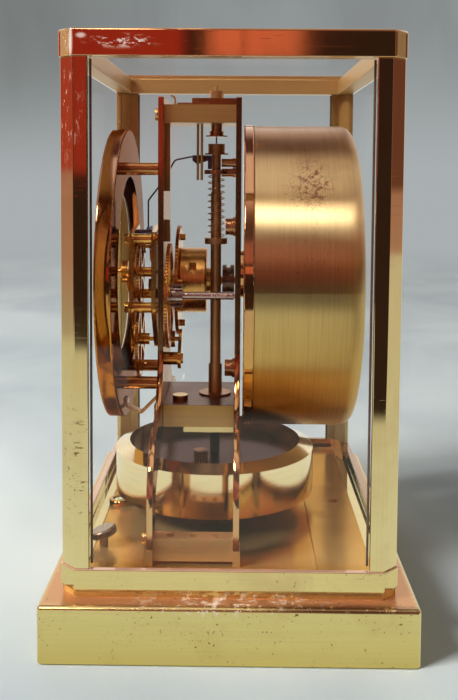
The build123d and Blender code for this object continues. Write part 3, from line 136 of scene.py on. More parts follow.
def noise(tree, vector, scale, detail=3.0, roughness=0.55, distortion=0.0):
    node = tree.nodes.new("ShaderNodeTexNoise")
    put(tree, vector, node.inputs["Vector"])
    node.inputs["Scale"].default_value = scale
    node.inputs["Detail"].default_value = detail
    node.inputs["Roughness"].default_value = roughness
    node.inputs["Distortion"].default_value = distortion
    return node.outputs[0]


def placeVector(tree):
    return tree.nodes.new("ShaderNodeTexCoord").outputs["Object"]


def axisOf(tree, vector, letter):
    node = tree.nodes.new("ShaderNodeSeparateXYZ")
    put(tree, vector, node.inputs[0])
    return node.outputs["XYZ".index(letter)]


def stretched(tree, vector, scale, turn=(0.0, 0.0, 0.0)):
    node = tree.nodes.new("ShaderNodeMapping")
    put(tree, vector, node.inputs["Vector"])
    node.inputs["Rotation"].default_value = turn
    node.inputs["Scale"].default_value = scale
    return node.outputs[0]


def sidesOf(tree, vector, axis, centre):
    # distances from an axis along the other two directions
    first, second = [letter for letter in "XYZ" if letter != axis]
    return (maths(tree, "SUBTRACT", axisOf(tree, vector, first), centre[0]),
            maths(tree, "SUBTRACT", axisOf(tree, vector, second), centre[1]))


def straight(tree, u, v):
    # length of the slant whose two sides are u and v
    return maths(tree, "SQRT", maths(tree, "ADD", maths(tree, "MULTIPLY", u, u),
                                     maths(tree, "MULTIPLY", v, v)))


def turnedVector(tree, vector, axis, centre, grain):
    # coordinates of a turned face: distance from the axis, angle round it, and place along it
    u, v = sidesOf(tree, vector, axis, centre)
    reach, angle = straight(tree, u, v), maths(tree, "ARCTAN2", v, u)
    join = tree.nodes.new("ShaderNodeCombineXYZ")
    put(tree, maths(tree, "MULTIPLY", reach, grain), join.inputs[0])
    put(tree, maths(tree, "MULTIPLY", angle, turnedStretch), join.inputs[1])
    put(tree, maths(tree, "MULTIPLY", axisOf(tree, vector, axis), grain), join.inputs[2])
    return join.outputs[0]


def roundSpot(tree, vector, centre, size, soft=0.35):
    # 1 inside an ellipsoid, fading to 0 at its edge
    shift = vectorMaths(tree, "SUBTRACT", vector, centre)
    length = vectorMaths(tree, "LENGTH", vectorMaths(tree, "DIVIDE", shift, size))
    return spread(tree, length, 1.0 - soft, 1.0, 1.0, 0.0)


def boxSpot(tree, vector, centre, size, soft=0.05):
    # 1 inside a box given by its half sizes, fading to 0 at its sides
    shift = vectorMaths(tree, "ABSOLUTE", vectorMaths(tree, "SUBTRACT", vector, centre))
    share = vectorMaths(tree, "DIVIDE", shift, size)
    most = maths(tree, "MAXIMUM", axisOf(tree, share, "X"),
                 maths(tree, "MAXIMUM", axisOf(tree, share, "Y"), axisOf(tree, share, "Z")))
    return spread(tree, most, 1.0 - soft, 1.0, 1.0, 0.0)


# what a metal has unless its own look says otherwise
plainMetal = {
    "brush": (metalGrain, metalGrain, 30.0),
    "wobble": 0.06,
    "tarnish": ("8a5c34", 0.22),
    "hairTint": 0.10,
    "metallic": 1.0,
    "zones": [],
    "patches": [],
    "pits": 0.0,
    "rough": (0.16, 0.26),
    "hairRough": 0.06,
    "hairDepth": 0.25,
    "fineDepth": 0.06,
    "scratches": [],
    "relief": 0.08,
}
# where along a noise each mark starts and is full
tarnishFrom, smudgeFrom, scratchFrom = (0.48, 0.78), (0.35, 0.7), (0.72, 0.76)
pitsFrom, pitCloudFrom = (0.64, 0.70), (0.44, 0.60)
raggedFrom = (0.62, 0.68)
pitTone, hairTones = "5a4420", ("4a3420", "fff4dc")


def makeMetal(look):
    # brushed, turned or polished metal with tarnish, pits, scratches and worn patches, and with painted
    # reflection and painted shade where a look's colour along the piece or its zones give them
    look = {**plainMetal, **look}
    material, tree, shader = newMaterial(look["name"])
    place = placeVector(tree)

    if look.get("turned"):
        axis, centre = look["turned"]
        grainPlace = turnedVector(tree, place, axis, centre, metalGrain)
    else:
        grainPlace = stretched(tree, place, look["brush"])
    hair = noise(tree, grainPlace, 1.0, 2.0, 0.6)
    cloud = noise(tree, place, cloudScale, 4.0, 0.6, 0.4)
    fine = noise(tree, place, fineScale, 3.0, 0.65)

    # colour along the piece, on several pieces a painted reflection of the room, then clouds of tarnish,
    # hair lines and specks
    stops = [(at, linear(tone)) for at, tone in look["tones"]]
    if look.get("along"):
        letter, low, high = look["along"]
        factor = spread(tree, axisOf(tree, place, letter), low, high, smooth=False)
        wobble = maths(tree, "MULTIPLY", maths(tree, "SUBTRACT", cloud, 0.5), look["wobble"])
        colour = ramp(tree, maths(tree, "ADD", factor, wobble), stops)
    else:
        colour = ramp(tree, cloud, [(0.3, stops[0][1]), (0.7, stops[-1][1])])
    tarnish, depth = look["tarnish"]
    colour = blendColour(tree, maths(tree, "MULTIPLY", spread(tree, cloud, *tarnishFrom), depth),
                         colour, linear(tarnish))
    colour = blendColour(tree, look["hairTint"], colour, twoTones(tree, hair, hairTones), "OVERLAY")
    rough = None
    metal = look["metallic"]
    # zones: a tone, roughness and metalness over a box, some of them painted shade or painted reflection
    for zone in look["zones"]:
        mask = boxSpot(tree, place, zone["centre"], zone["size"], zone.get("soft", 0.05))
        colour = blendColour(tree, maths(tree, "MULTIPLY", mask, zone.get("strength", 1.0)),
                             colour, linear(zone["tone"]))
        if "rough" in zone:
            rougher = maths(tree, "MULTIPLY", mask, zone["rough"])
            rough = rougher if rough is None else maths(tree, "MAXIMUM", rough, rougher)
        if "metallic" in zone:
            metal = maths(tree, "SUBTRACT", metal, maths(tree, "MULTIPLY", mask, 1.0 - zone["metallic"]))
    for patch in look["patches"]:
        mask = roundSpot(tree, place, patch["centre"], patch["size"], 0.7)
        drawn = stretched(tree, place, patch.get("drawn", (1.0, 1.0, 1.0)))
        ragged = spread(tree, noise(tree, drawn, patch["grain"], 5.0, 0.75),
                        *(edge - patch["fill"] for edge in raggedFrom))
        cover = maths(tree, "MULTIPLY", maths(tree, "MULTIPLY", mask, ragged), patch["strength"])
        colour = blendColour(tree, cover, colour, linear(patch["tone"]))
        if "metallic" in patch:
            metal = maths(tree, "SUBTRACT", metal, maths(tree, "MULTIPLY", cover, 1.0 - patch["metallic"]),
                          clamp=True)
    if look["pits"]:
        specks = spread(tree, noise(tree, place, pitScale, 2.0, 0.6), *pitsFrom)
        specks = maths(tree, "MULTIPLY", specks, spread(tree, cloud, *pitCloudFrom))
        colour = blendColour(tree, maths(tree, "MULTIPLY", specks, look["pits"]), colour, linear(pitTone))
    put(tree, colour, shader.inputs["Base Color"])
    put(tree, metal, shader.inputs["Metallic"])

    if look.get("brushedRound"):
        # fine lines run round the wall, so its gloss spreads along the axis
        shader.inputs["Anisotropic"].default_value = look["brushedRound"]
        shader.inputs["Anisotropic Rotation"].default_value = 0.25
        tangent = tree.nodes.new("ShaderNodeTangent")
        tangent.direction_type = "RADIAL"
        tangent.axis = look["turned"][0]
        put(tree, tangent.outputs[0], shader.inputs["Tangent"])

    if look.get("edgeTint"):
        shader.inputs["Specular Tint"].default_value = linear(look["edgeTint"])

    # roughness: even polish, smudges and hair lines
    smudge = spread(tree, noise(tree, place, smudgeScale, 5.0, 0.65, 0.8), *smudgeFrom, *look["rough"])
    uneven = maths(tree, "ADD", smudge, maths(tree, "MULTIPLY", maths(tree, "SUBTRACT", hair, 0.5),
                                               look["hairRough"]), clamp=True)
    if rough is not None:
        uneven = maths(tree, "MAXIMUM", uneven, rough)
    put(tree, uneven, shader.inputs["Roughness"])

    # fine relief
    height = maths(tree, "MULTIPLY", hair, look["hairDepth"])
    height = maths(tree, "ADD", height, maths(tree, "MULTIPLY", fine, look["fineDepth"]))
    for turn, depth in look["scratches"]:
        lines = noise(tree, stretched(tree, place, scratchGrain, turn), 1.0, 1.0, 0.4)
        height = maths(tree, "SUBTRACT", height,
                       maths(tree, "MULTIPLY", spread(tree, lines, *scratchFrom), depth))
    addRelief(tree, shader, height, look["relief"])
    return material


def dress(material, *names):
    # a CAD node takes a better material
    for name in names:
        slots = nodes[name].data.materials
        slots.clear()
        slots.append(material)


def soften(width, *names):
    # worn edges on a CAD node, as modifiers that leave its mesh alone
    for name in names:
        weld = nodes[name].modifiers.new("join", "WELD")
        weld.merge_threshold = 1e-6
        bevel = nodes[name].modifiers.new("edges", "BEVEL")
        bevel.width = width
        bevel.segments = 2
        bevel.limit_method = "ANGLE"
        bevel.angle_limit = math.radians(40)
        bevel.harden_normals = True


def nodeBox(name):
    low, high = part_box(name)
    return Vector(low), Vector(high)


def newPiece(name, shape, material, body, smooth=False):
    # a finished mesh becomes a piece that rides on a body
    mesh = bpy.data.meshes.new(name)
    shape.to_mesh(mesh)
    shape.free()
    for face in mesh.polygons:
        face.use_smooth = smooth
    mesh.materials.append(material)
    piece = bpy.data.objects.new(name, mesh)
    bpy.context.scene.collection.objects.link(piece)
    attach(piece, body)


photoCamera = {
    "place": (0.42635, 0.00275, 0.18414),
    "yaw": -0.0107,
    "pitch": 0.067,
    "roll": 0.0068,
    "focalPixels": 926.29,
    "centrePixels": (229.0, 231.27),
    "imagePixels": (458, 700),
    "sensor": 36.0,
}


def makeCamera(look):
    yaw, pitch, roll = look["yaw"], look["pitch"], look["roll"]
    forward = Vector((-math.cos(pitch) * math.cos(yaw), math.cos(pitch) * math.sin(yaw), -math.sin(pitch)))
    level = Vector((math.sin(yaw), math.cos(yaw), 0.0))
    up = level.cross(forward)
    right = math.cos(roll) * level + math.sin(roll) * up
    top = -math.sin(roll) * level + math.cos(roll) * up
    data = bpy.data.cameras.new("photoCamera")
    wide, tall = look["imagePixels"]
    data.sensor_fit = "AUTO"
    data.sensor_width = look["sensor"]
    data.lens = look["focalPixels"] * look["sensor"] / tall
    data.shift_x = -(look["centrePixels"][0] - wide / 2) / tall
    data.shift_y = (look["centrePixels"][1] - tall / 2) / tall
    data.clip_start = 0.01
    camera = bpy.data.objects.new("photoCamera", data)
    bpy.context.scene.collection.objects.link(camera)
    camera.matrix_world = Matrix.Translation(look["place"]) @ Matrix(
        (right, top, -forward)).transposed().to_4x4()
    bpy.context.scene.camera = camera


makeCamera(photoCamera)
print("camera placed")

# what polished metal sees: a pale table, a dim warm room at eye level, two windows and a pale ceiling
roomLook = {
    "frontBands": [(-1.0, "3c2e2a"), (0.20, "3a2c2a"), (0.27, "c07c74"), (0.46, "b07c74"), (0.53, "604844"),
                   (0.66, "5c4844"), (0.76, "8c706a"), (0.84, "d4b4ac"), (0.92, "fff0e4"), (1.0, "fff4ea")],
    "sideBands": [(-1.0, "a8a8a0"), (-0.30, "c8ccc8"), (-0.12, "c8a49c"), (0.10, "b89088"), (0.35, "b08c84"),
                  (0.56, "c8b4b0"), (0.74, "b8a8a4"), (1.0, "fff4ea")],
    "backBands": [(-1.0, "a8a8a0"), (-0.30, "d8dcd8"), (0.05, "eceae4"), (0.42, "fffaf2"), (0.62, "d8c4bc"),
                  (0.80, "5c4440"), (0.95, "5c4440"), (1.0, "c8a8a0")],
    "hangings": [
        # red curtains to the left, a warm glow ahead with two posts in it, dark wood to the right
        {"aim": (0.90, -0.38, 0.085), "size": (0.3, 0.33, 0.093), "tone": "ac4236", "soft": 0.06},
        {"aim": (-0.19, -0.98, 0.088), "size": (0.16, 0.2, 0.096), "tone": "c0584a", "soft": 0.10},
        {"aim": (0.99, 0.012, 0.155), "size": (0.2, 0.062, 0.05), "tone": "ec947c", "soft": 0.25},
        {"aim": (0.99, -0.042, 0.135), "size": (0.2, 0.009, 0.05), "tone": "3c342c", "soft": 0.35},
        {"aim": (0.99, 0.004, 0.135), "size": (0.2, 0.004, 0.05), "tone": "a85c44", "soft": 0.8},
        {"aim": (-0.17, 0.98, 0.10), "size": (0.14, 0.3, 0.13), "tone": "785448", "soft": 0.12},
        # two windows, high and to the left
        {"aim": (0.60, -0.29, 0.745), "size": (0.10, 0.09, 0.075), "tone": "fffaee", "soft": 0.2,
         "strength": 32.0},
        {"aim": (0.345, -0.68, 0.645), "size": (0.10, 0.11, 0.085), "tone": "fffaee", "soft": 0.2,
         "strength": 32.0},
    ],
    "glow": 1.08,
    "drop": 0.2,
    "frontFrom": (0.05, 0.30),
    "backFrom": (-0.36, -0.22),
    "tableEdges": {"ahead": 0.40, "aheadLeft": 0.66, "left": 0.66, "right": 1.7},
}

backdropLook = {
    "low": "a9afb0",
    "high": "8d9191",
    "floorFar": "a9afb0",
    "shaded": "6c706e",
    "reflectedFloor": "eaf0ea",
    "skyTone": "c8c8c4",
    "skyStrength": 0.13,
    "floorRadius": 6.0,
    "clothFoldShades": ("bac4c8", "dce4e4"),
    "foldShadeTones": ("707474", "dce2e2"),
    "foldStrength": 0.16,
    "foldsFrom": (0.02, 0.14),
    "darkerFrom": (-0.02, 0.16),
    "shadeFrom": (-0.03, 0.12),
    "floorFade": (0.42, 1.9),
    "tableFade": (0.08, 0.40),
    "tableNear": "ecefe0",
}


def roomColour(tree, way, look):
    # colours of the room by direction
    height = spread(tree, axisOf(tree, way, "Z"), -1.0, 1.0, smooth=False)
    bands = {}
    for side in ("frontBands", "sideBands", "backBands"):
        bands[side] = ramp(tree, height, [((at + 1) / 2, linear(tone)) for at, tone in look[side]])
    ahead = axisOf(tree, way, "X")
    colour = blendColour(tree, spread(tree, ahead, *look["frontFrom"]), bands["sideBands"],
                         bands["frontBands"])
    colour = blendColour(tree, spread(tree, ahead, *look["backFrom"]), bands["backBands"], colour)
    for hanging in look["hangings"]:
        mask = boxSpot(tree, way, hanging["aim"], hanging["size"], hanging["soft"])
        red, green, blue = (hanging.get("strength", 1.0) * c for c in linear(hanging["tone"])[:3])
        colour = blendColour(tree, mask, colour, (red, green, blue, 1.0))
    return colour


def makeWorld(room, backdrop):
    world = bpy.data.worlds.new("studio")
    bpy.context.scene.world = world
    world.use_nodes = True
    tree = world.node_tree
    way = tree.nodes.new("ShaderNodeTexCoord").outputs["Generated"]
    height = axisOf(tree, way, "Z")
    mirrored = tree.nodes["Background"]
    put(tree, roomColour(tree, way, room), mirrored.inputs["Color"])
    mirrored.inputs["Strength"].default_value = room["glow"]
    diffuse = tree.nodes.new("ShaderNodeBackground")
    diffuse.inputs["Color"].default_value = linear(backdrop["skyTone"])
    diffuse.inputs["Strength"].default_value = backdrop["skyStrength"]
    # the cloth behind the clock, a little darker towards the top, with a painted fold shadow to the left
    # behind and faint painted fold shading
    back = tree.nodes.new("ShaderNodeBackground")
    folds = noise(tree, stretched(tree, way, (1.0, 5.0, 1.6)), 2.2, 3.0, 0.5, 0.5)
    plain = blendColour(tree, spread(tree, height, *backdrop["darkerFrom"]), linear(backdrop["low"]),
                        linear(backdrop["high"]))
    shade = maths(tree, "MULTIPLY", spread(tree, axisOf(tree, way, "Y"), -0.34, 0.04, 0.7, 0.0),
                  maths(tree, "MULTIPLY", spread(tree, axisOf(tree, way, "X"), -0.8, -0.3, 1.0, 0.0),
                        spread(tree, height, *backdrop["shadeFrom"])))
    plain = blendColour(tree, shade, plain, linear(backdrop["shaded"]))
    away = spread(tree, maths(tree, "ABSOLUTE", height), *backdrop["foldsFrom"], 0.0,
                  backdrop["foldStrength"])
    folded = twoTones(tree, folds, backdrop["foldShadeTones"], 0.35, 0.65)
    cloth = blendColour(tree, away, plain, folded, "OVERLAY")
    put(tree, cloth, back.inputs["Color"])
    rays = tree.nodes.new("ShaderNodeLightPath")
    lit = mixShaders(tree, rays.outputs["Is Glossy Ray"], diffuse.outputs[0], mirrored.outputs[0])
    seen = maths(tree, "MAXIMUM", rays.outputs["Is Camera Ray"], rays.outputs["Is Transmission Ray"])
    put(tree, mixShaders(tree, seen, lit, back.outputs[0]), tree.nodes["World Output"].inputs["Surface"])


def makeFloor(room, backdrop):
    mesh = bpy.data.meshes.new("studioFloor")
    shape = bmesh.new()
    bmesh.ops.create_circle(shape, cap_ends=True, segments=96, radius=backdrop["floorRadius"])
    shape.to_mesh(mesh)
    shape.free()
    floor = bpy.data.objects.new("studioFloor", mesh)
    bpy.context.scene.collection.objects.link(floor)
    material, tree, shader = newMaterial("paleCloth")
    place = placeVector(tree)
    # the cloth's pale tone, with painted shading of broad folds
    folds = noise(tree, stretched(tree, place, (1.0, 1.6, 1.0), (0.0, 0.0, 0.5)), 3.2, 3.0, 0.5, 0.7)
    put(tree, twoTones(tree, folds, backdrop["clothFoldShades"], 0.32, 0.68), shader.inputs["Base Color"])
    shader.inputs["Roughness"].default_value = 0.9
    shader.inputs["Specular IOR Level"].default_value = 0.2
    addRelief(tree, shader, noise(tree, place, fineScale, 2.0, 0.5), 0.15)
    # far out the floor takes the backdrop's own tone, so no horizon line shows
    reach = vectorMaths(tree, "LENGTH", place)
    glow = tree.nodes.new("ShaderNodeEmission")
    glow.inputs["Color"].default_value = linear(backdrop["floorFar"])
    cloth = mixShaders(tree, spread(tree, reach, *backdrop["floorFade"]), shader.outputs[0], glow.outputs[0])
    # polished metal sees a pale table top, and beyond its edge the foot of the room
    mirrored = tree.nodes.new("ShaderNodeEmission")
    flat = vectorMaths(tree, "MULTIPLY", place, (1.0, 1.0, 0.0))
    downward = vectorMaths(tree, "ADD", flat, (0.0, 0.0, -room["drop"]))
    roomFoot = roomColour(tree, vectorMaths(tree, "NORMALIZE", downward), room)
    table = twoTones(tree, spread(tree, reach, *backdrop["tableFade"]),
                     (backdrop["tableNear"], backdrop["reflectedFloor"]), 0.0, 1.0)
    edges = room["tableEdges"]
    # the near edge steps out on the left
    front = spread(tree, axisOf(tree, place, "Y"), -0.12, -0.07, edges["aheadLeft"], edges["ahead"])
    beyond = spread(tree, maths(tree, "SUBTRACT", axisOf(tree, place, "X"), front), 0.0, 0.05)
    for letter, sign, edge in (("Y", -1.0, edges["left"]), ("Y", 1.0, edges["right"])):
        out = maths(tree, "MULTIPLY", axisOf(tree, place, letter), sign)
        beyond = maths(tree, "MAXIMUM", beyond, spread(tree, out, edge, edge + 0.1))
    put(tree, blendColour(tree, beyond, table, roomFoot), mirrored.inputs["Color"])
    rays = tree.nodes.new("ShaderNodeLightPath")
    both = mixShaders(tree, rays.outputs["Is Glossy Ray"], cloth, mirrored.outputs[0])
    put(tree, both, tree.nodes["Material Output"].inputs["Surface"])
    mesh.materials.append(material)


lampLooks = [
    {"name": "leftLamp", "place": (1.08, -1.88, 1.79), "aim": (0.0, 0.0, 0.10), "size": (1.0, 0.8),
     "power": 98.0, "tint": (1.0, 0.99, 0.97)},
    {"name": "backLamp", "place": (-1.6, -0.8, 1.5), "aim": (0.0, 0.0, 0.10), "size": (0.8, 0.6),
     "power": 5.0, "tint": (0.97, 0.98, 1.0)},
    {"name": "topLamp", "place": (0.1, 0.0, 1.9), "aim": (0.0, 0.0, 0.10), "size": (0.9, 0.9),
     "power": 3.0, "tint": (1.0, 0.99, 0.97)},
]


def makeLamps(looks):
    for look in looks:
        data = bpy.data.lights.new(look["name"], "AREA")
        data.shape = "RECTANGLE"
        data.size, data.size_y = look["size"]
        data.energy = look["power"]
        data.color = look["tint"]
        lamp = bpy.data.objects.new(look["name"], data)
        bpy.context.scene.collection.objects.link(lamp)
        lamp.location = look["place"]
        lamp.visible_glossy = False
        toAim = Vector(look["aim"]) - Vector(look["place"])
        lamp.rotation_euler = toAim.to_track_quat("-Z", "Y").to_euler()


makeFloor(roomLook, backdropLook)
makeWorld(roomLook, backdropLook)
makeLamps(lampLooks)
bpy.context.scene.view_settings.view_transform = "Standard"
print("stage lit")

glassLook = {"name": "paneGlass", "alpha": 0.022, "tones": ("e8e0d0", "f8f4ea")}


def makeGlass(look):
    material, tree, shader = newMaterial(look["name"])
    film = noise(tree, placeVector(tree), 14.0, 4.0, 0.6, 0.5)
    put(tree, twoTones(tree, film, look["tones"]), shader.inputs["Base Color"])
    shader.inputs["Metallic"].default_value = 1.0
    put(tree, spread(tree, film, 0.4, 0.75, 0.015, 0.05), shader.inputs["Roughness"])
    shader.inputs["Alpha"].default_value = look["alpha"]
    return material


dress(makeGlass(glassLook), "side_glass_left", "side_glass_right", "rear_glass", "top_glass", "front_glass")
print("glass fitted")

skewLines = (0.3, 0.9, 0.4)
polished = {"rough": (0.035, 0.085), "hairRough": 0.02, "hairDepth": 0.05, "fineDepth": 0.04, "relief": 0.04,
            "hairTint": 0.04, "scratches": [(skewLines, 0.5)]}
caseLooks = [
    # redder towards the left end: a painted reflection of the red curtains
    ({"name": "capBrass", "tones": [(0.0, "c8946c"), (0.6, "d09c70"), (1.0, "c8a470")],
      "along": ("Y", -0.064, 0.064), "brush": (900.0, 20.0, 900.0), "tarnish": ("a87048", 0.25),
      "zones": [{"centre": (0.0, 0.0, 0.2294), "size": (0.0872, 0.0634, 0.0052), "tone": "c8a064",
                 "strength": 0.95, "rough": 0.40, "soft": 0.004, "metallic": 0.65}],
      "patches": [{"centre": (0.0885, -0.040, 0.2302), "size": (0.02, 0.017, 0.0034), "tone": "f4e4dc",
                   "strength": 1.0, "grain": 420.0, "fill": 0.11, "drawn": (1.0, 0.4, 1.0), "metallic": 0.2},
                  {"centre": (0.0885, -0.055, 0.2322), "size": (0.02, 0.0026, 0.0014), "tone": "f4e4dc",
                   "strength": 0.9, "grain": 90.0, "fill": 0.3, "metallic": 0.2},
                  {"centre": (0.086, -0.0625, 0.2302), "size": (0.01, 0.0045, 0.006), "tone": "ecd8c8",
                   "strength": 0.8, "grain": 800.0, "fill": 0.06, "metallic": 0.4},
                  {"centre": (0.0877, -0.0588, 0.230), "size": (0.004, 0.0012, 0.009), "tone": "f0e4d8",
                   "strength": 0.9, "grain": 200.0, "fill": 0.3, "metallic": 0.2}]},
     ["cap_frame"]),
    # paler towards the foot and warmer towards the top: a painted reflection of the pale table and the warm
    # room
    ({"name": "pillarBrass", "tones": [(0.0, "dccc98"), (0.4, "d0b880"), (1.0, "c8a078")],
      "along": ("Z", 0.034, 0.225), "brush": (900.0, 900.0, 20.0), "tarnish": ("a87048", 0.18),
      "patches": [{"centre": (0.086, -0.061, 0.205), "size": (0.008, 0.009, 0.024), "tone": "f0d4c4",
                   "strength": 0.7, "grain": 600.0, "fill": 0.06, "drawn": (1.0, 1.0, 0.3), "metallic": 0.4},
                  {"centre": (0.086, -0.058, 0.072), "size": (0.008, 0.008, 0.034), "tone": "4a3820",
                   "strength": 0.9, "grain": 600.0, "fill": 0.05, "drawn": (1.0, 0.2, 1.0)}]},
     ["pillar_front_right", "pillar_rear_right"]),
    # paler towards the foot and browner towards the top: a painted reflection of the pale table and the warm
    # room
    ({"name": "farPillarBrass", "tones": [(0.0, "dccc98"), (0.4, "c8a868"), (1.0, "b88c50")],
      "along": ("Z", 0.034, 0.225), "brush": (900.0, 900.0, 20.0), "rough": (0.36, 0.46), "metallic": 0.65},
     ["pillar_front_left", "pillar_rear_left"]),
    ({"name": "railBrass", "tones": [(0.0, "d8c68c"), (1.0, "dcc88c")], "along": ("Y", -0.064, 0.064),
      "brush": (900.0, 20.0, 900.0), "pits": 0.35,
      "zones": [{"centre": (0.0, 0.0, 0.0340), "size": (0.10, 0.075, 0.0007), "tone": "e0b09c",
                 "strength": 0.8, "metallic": 0.4}]},
     ["bottom_rail"]),
    ({"name": "baseBrass", "tones": [(0.0, "c8b46c"), (0.5, "d0c080"), (1.0, "d4c488")],
      "along": ("Z", 0.0, 0.0220), "wobble": 0.1, "brush": (900.0, 16.0, 900.0), "rough": (0.10, 0.20),
      "pits": 0.9, "tarnish": ("a88c4c", 0.3),
      "zones": [{"centre": (0.0, 0.0, 0.0220), "size": (0.0960, 0.0720, 0.0009), "tone": "dca070",
                 "strength": 0.9, "rough": 0.30, "metallic": 0.7},
                # a darker underside: painted shade under the base
                {"centre": (0.0, 0.0, 0.0), "size": (0.10, 0.08, 0.0055), "tone": "846c28",
                 "strength": 0.6, "soft": 0.9},
                # the gilt band: its own gilding, brightened as a painted reflection of the pale table
                {"centre": (0.0, 0.0, 0.0242), "size": (0.0886, 0.0648, 0.0017), "tone": "ffd274",
                 "rough": 0.5, "metallic": 0.6}],
      "patches": [{"centre": (0.09, 0.0, 0.0225), "size": (0.02, 0.05, 0.004), "tone": "f4e4d0",
                   "strength": 0.8, "grain": 300.0, "fill": 0.09, "metallic": 0.3},
                  {"centre": (0.095, -0.02, 0.012), "size": (0.02, 0.035, 0.006), "tone": "6a5424",
                   "strength": 0.6, "grain": 520.0, "fill": 0.03},
                  {"centre": (0.095, 0.045, 0.0222), "size": (0.006, 0.045, 0.0016), "tone": "5c3020",
                   "strength": 0.8, "grain": 120.0, "fill": 0.25}]},
     ["base_plinth"]),
]
for look, names in caseLooks:
    dress(makeMetal({**polished, **look}), *names)
soften(0.0004, "cap_frame", "pillar_front_left", "pillar_front_right", "pillar_rear_left",
       "pillar_rear_right", "bottom_rail")
print("case dressed")

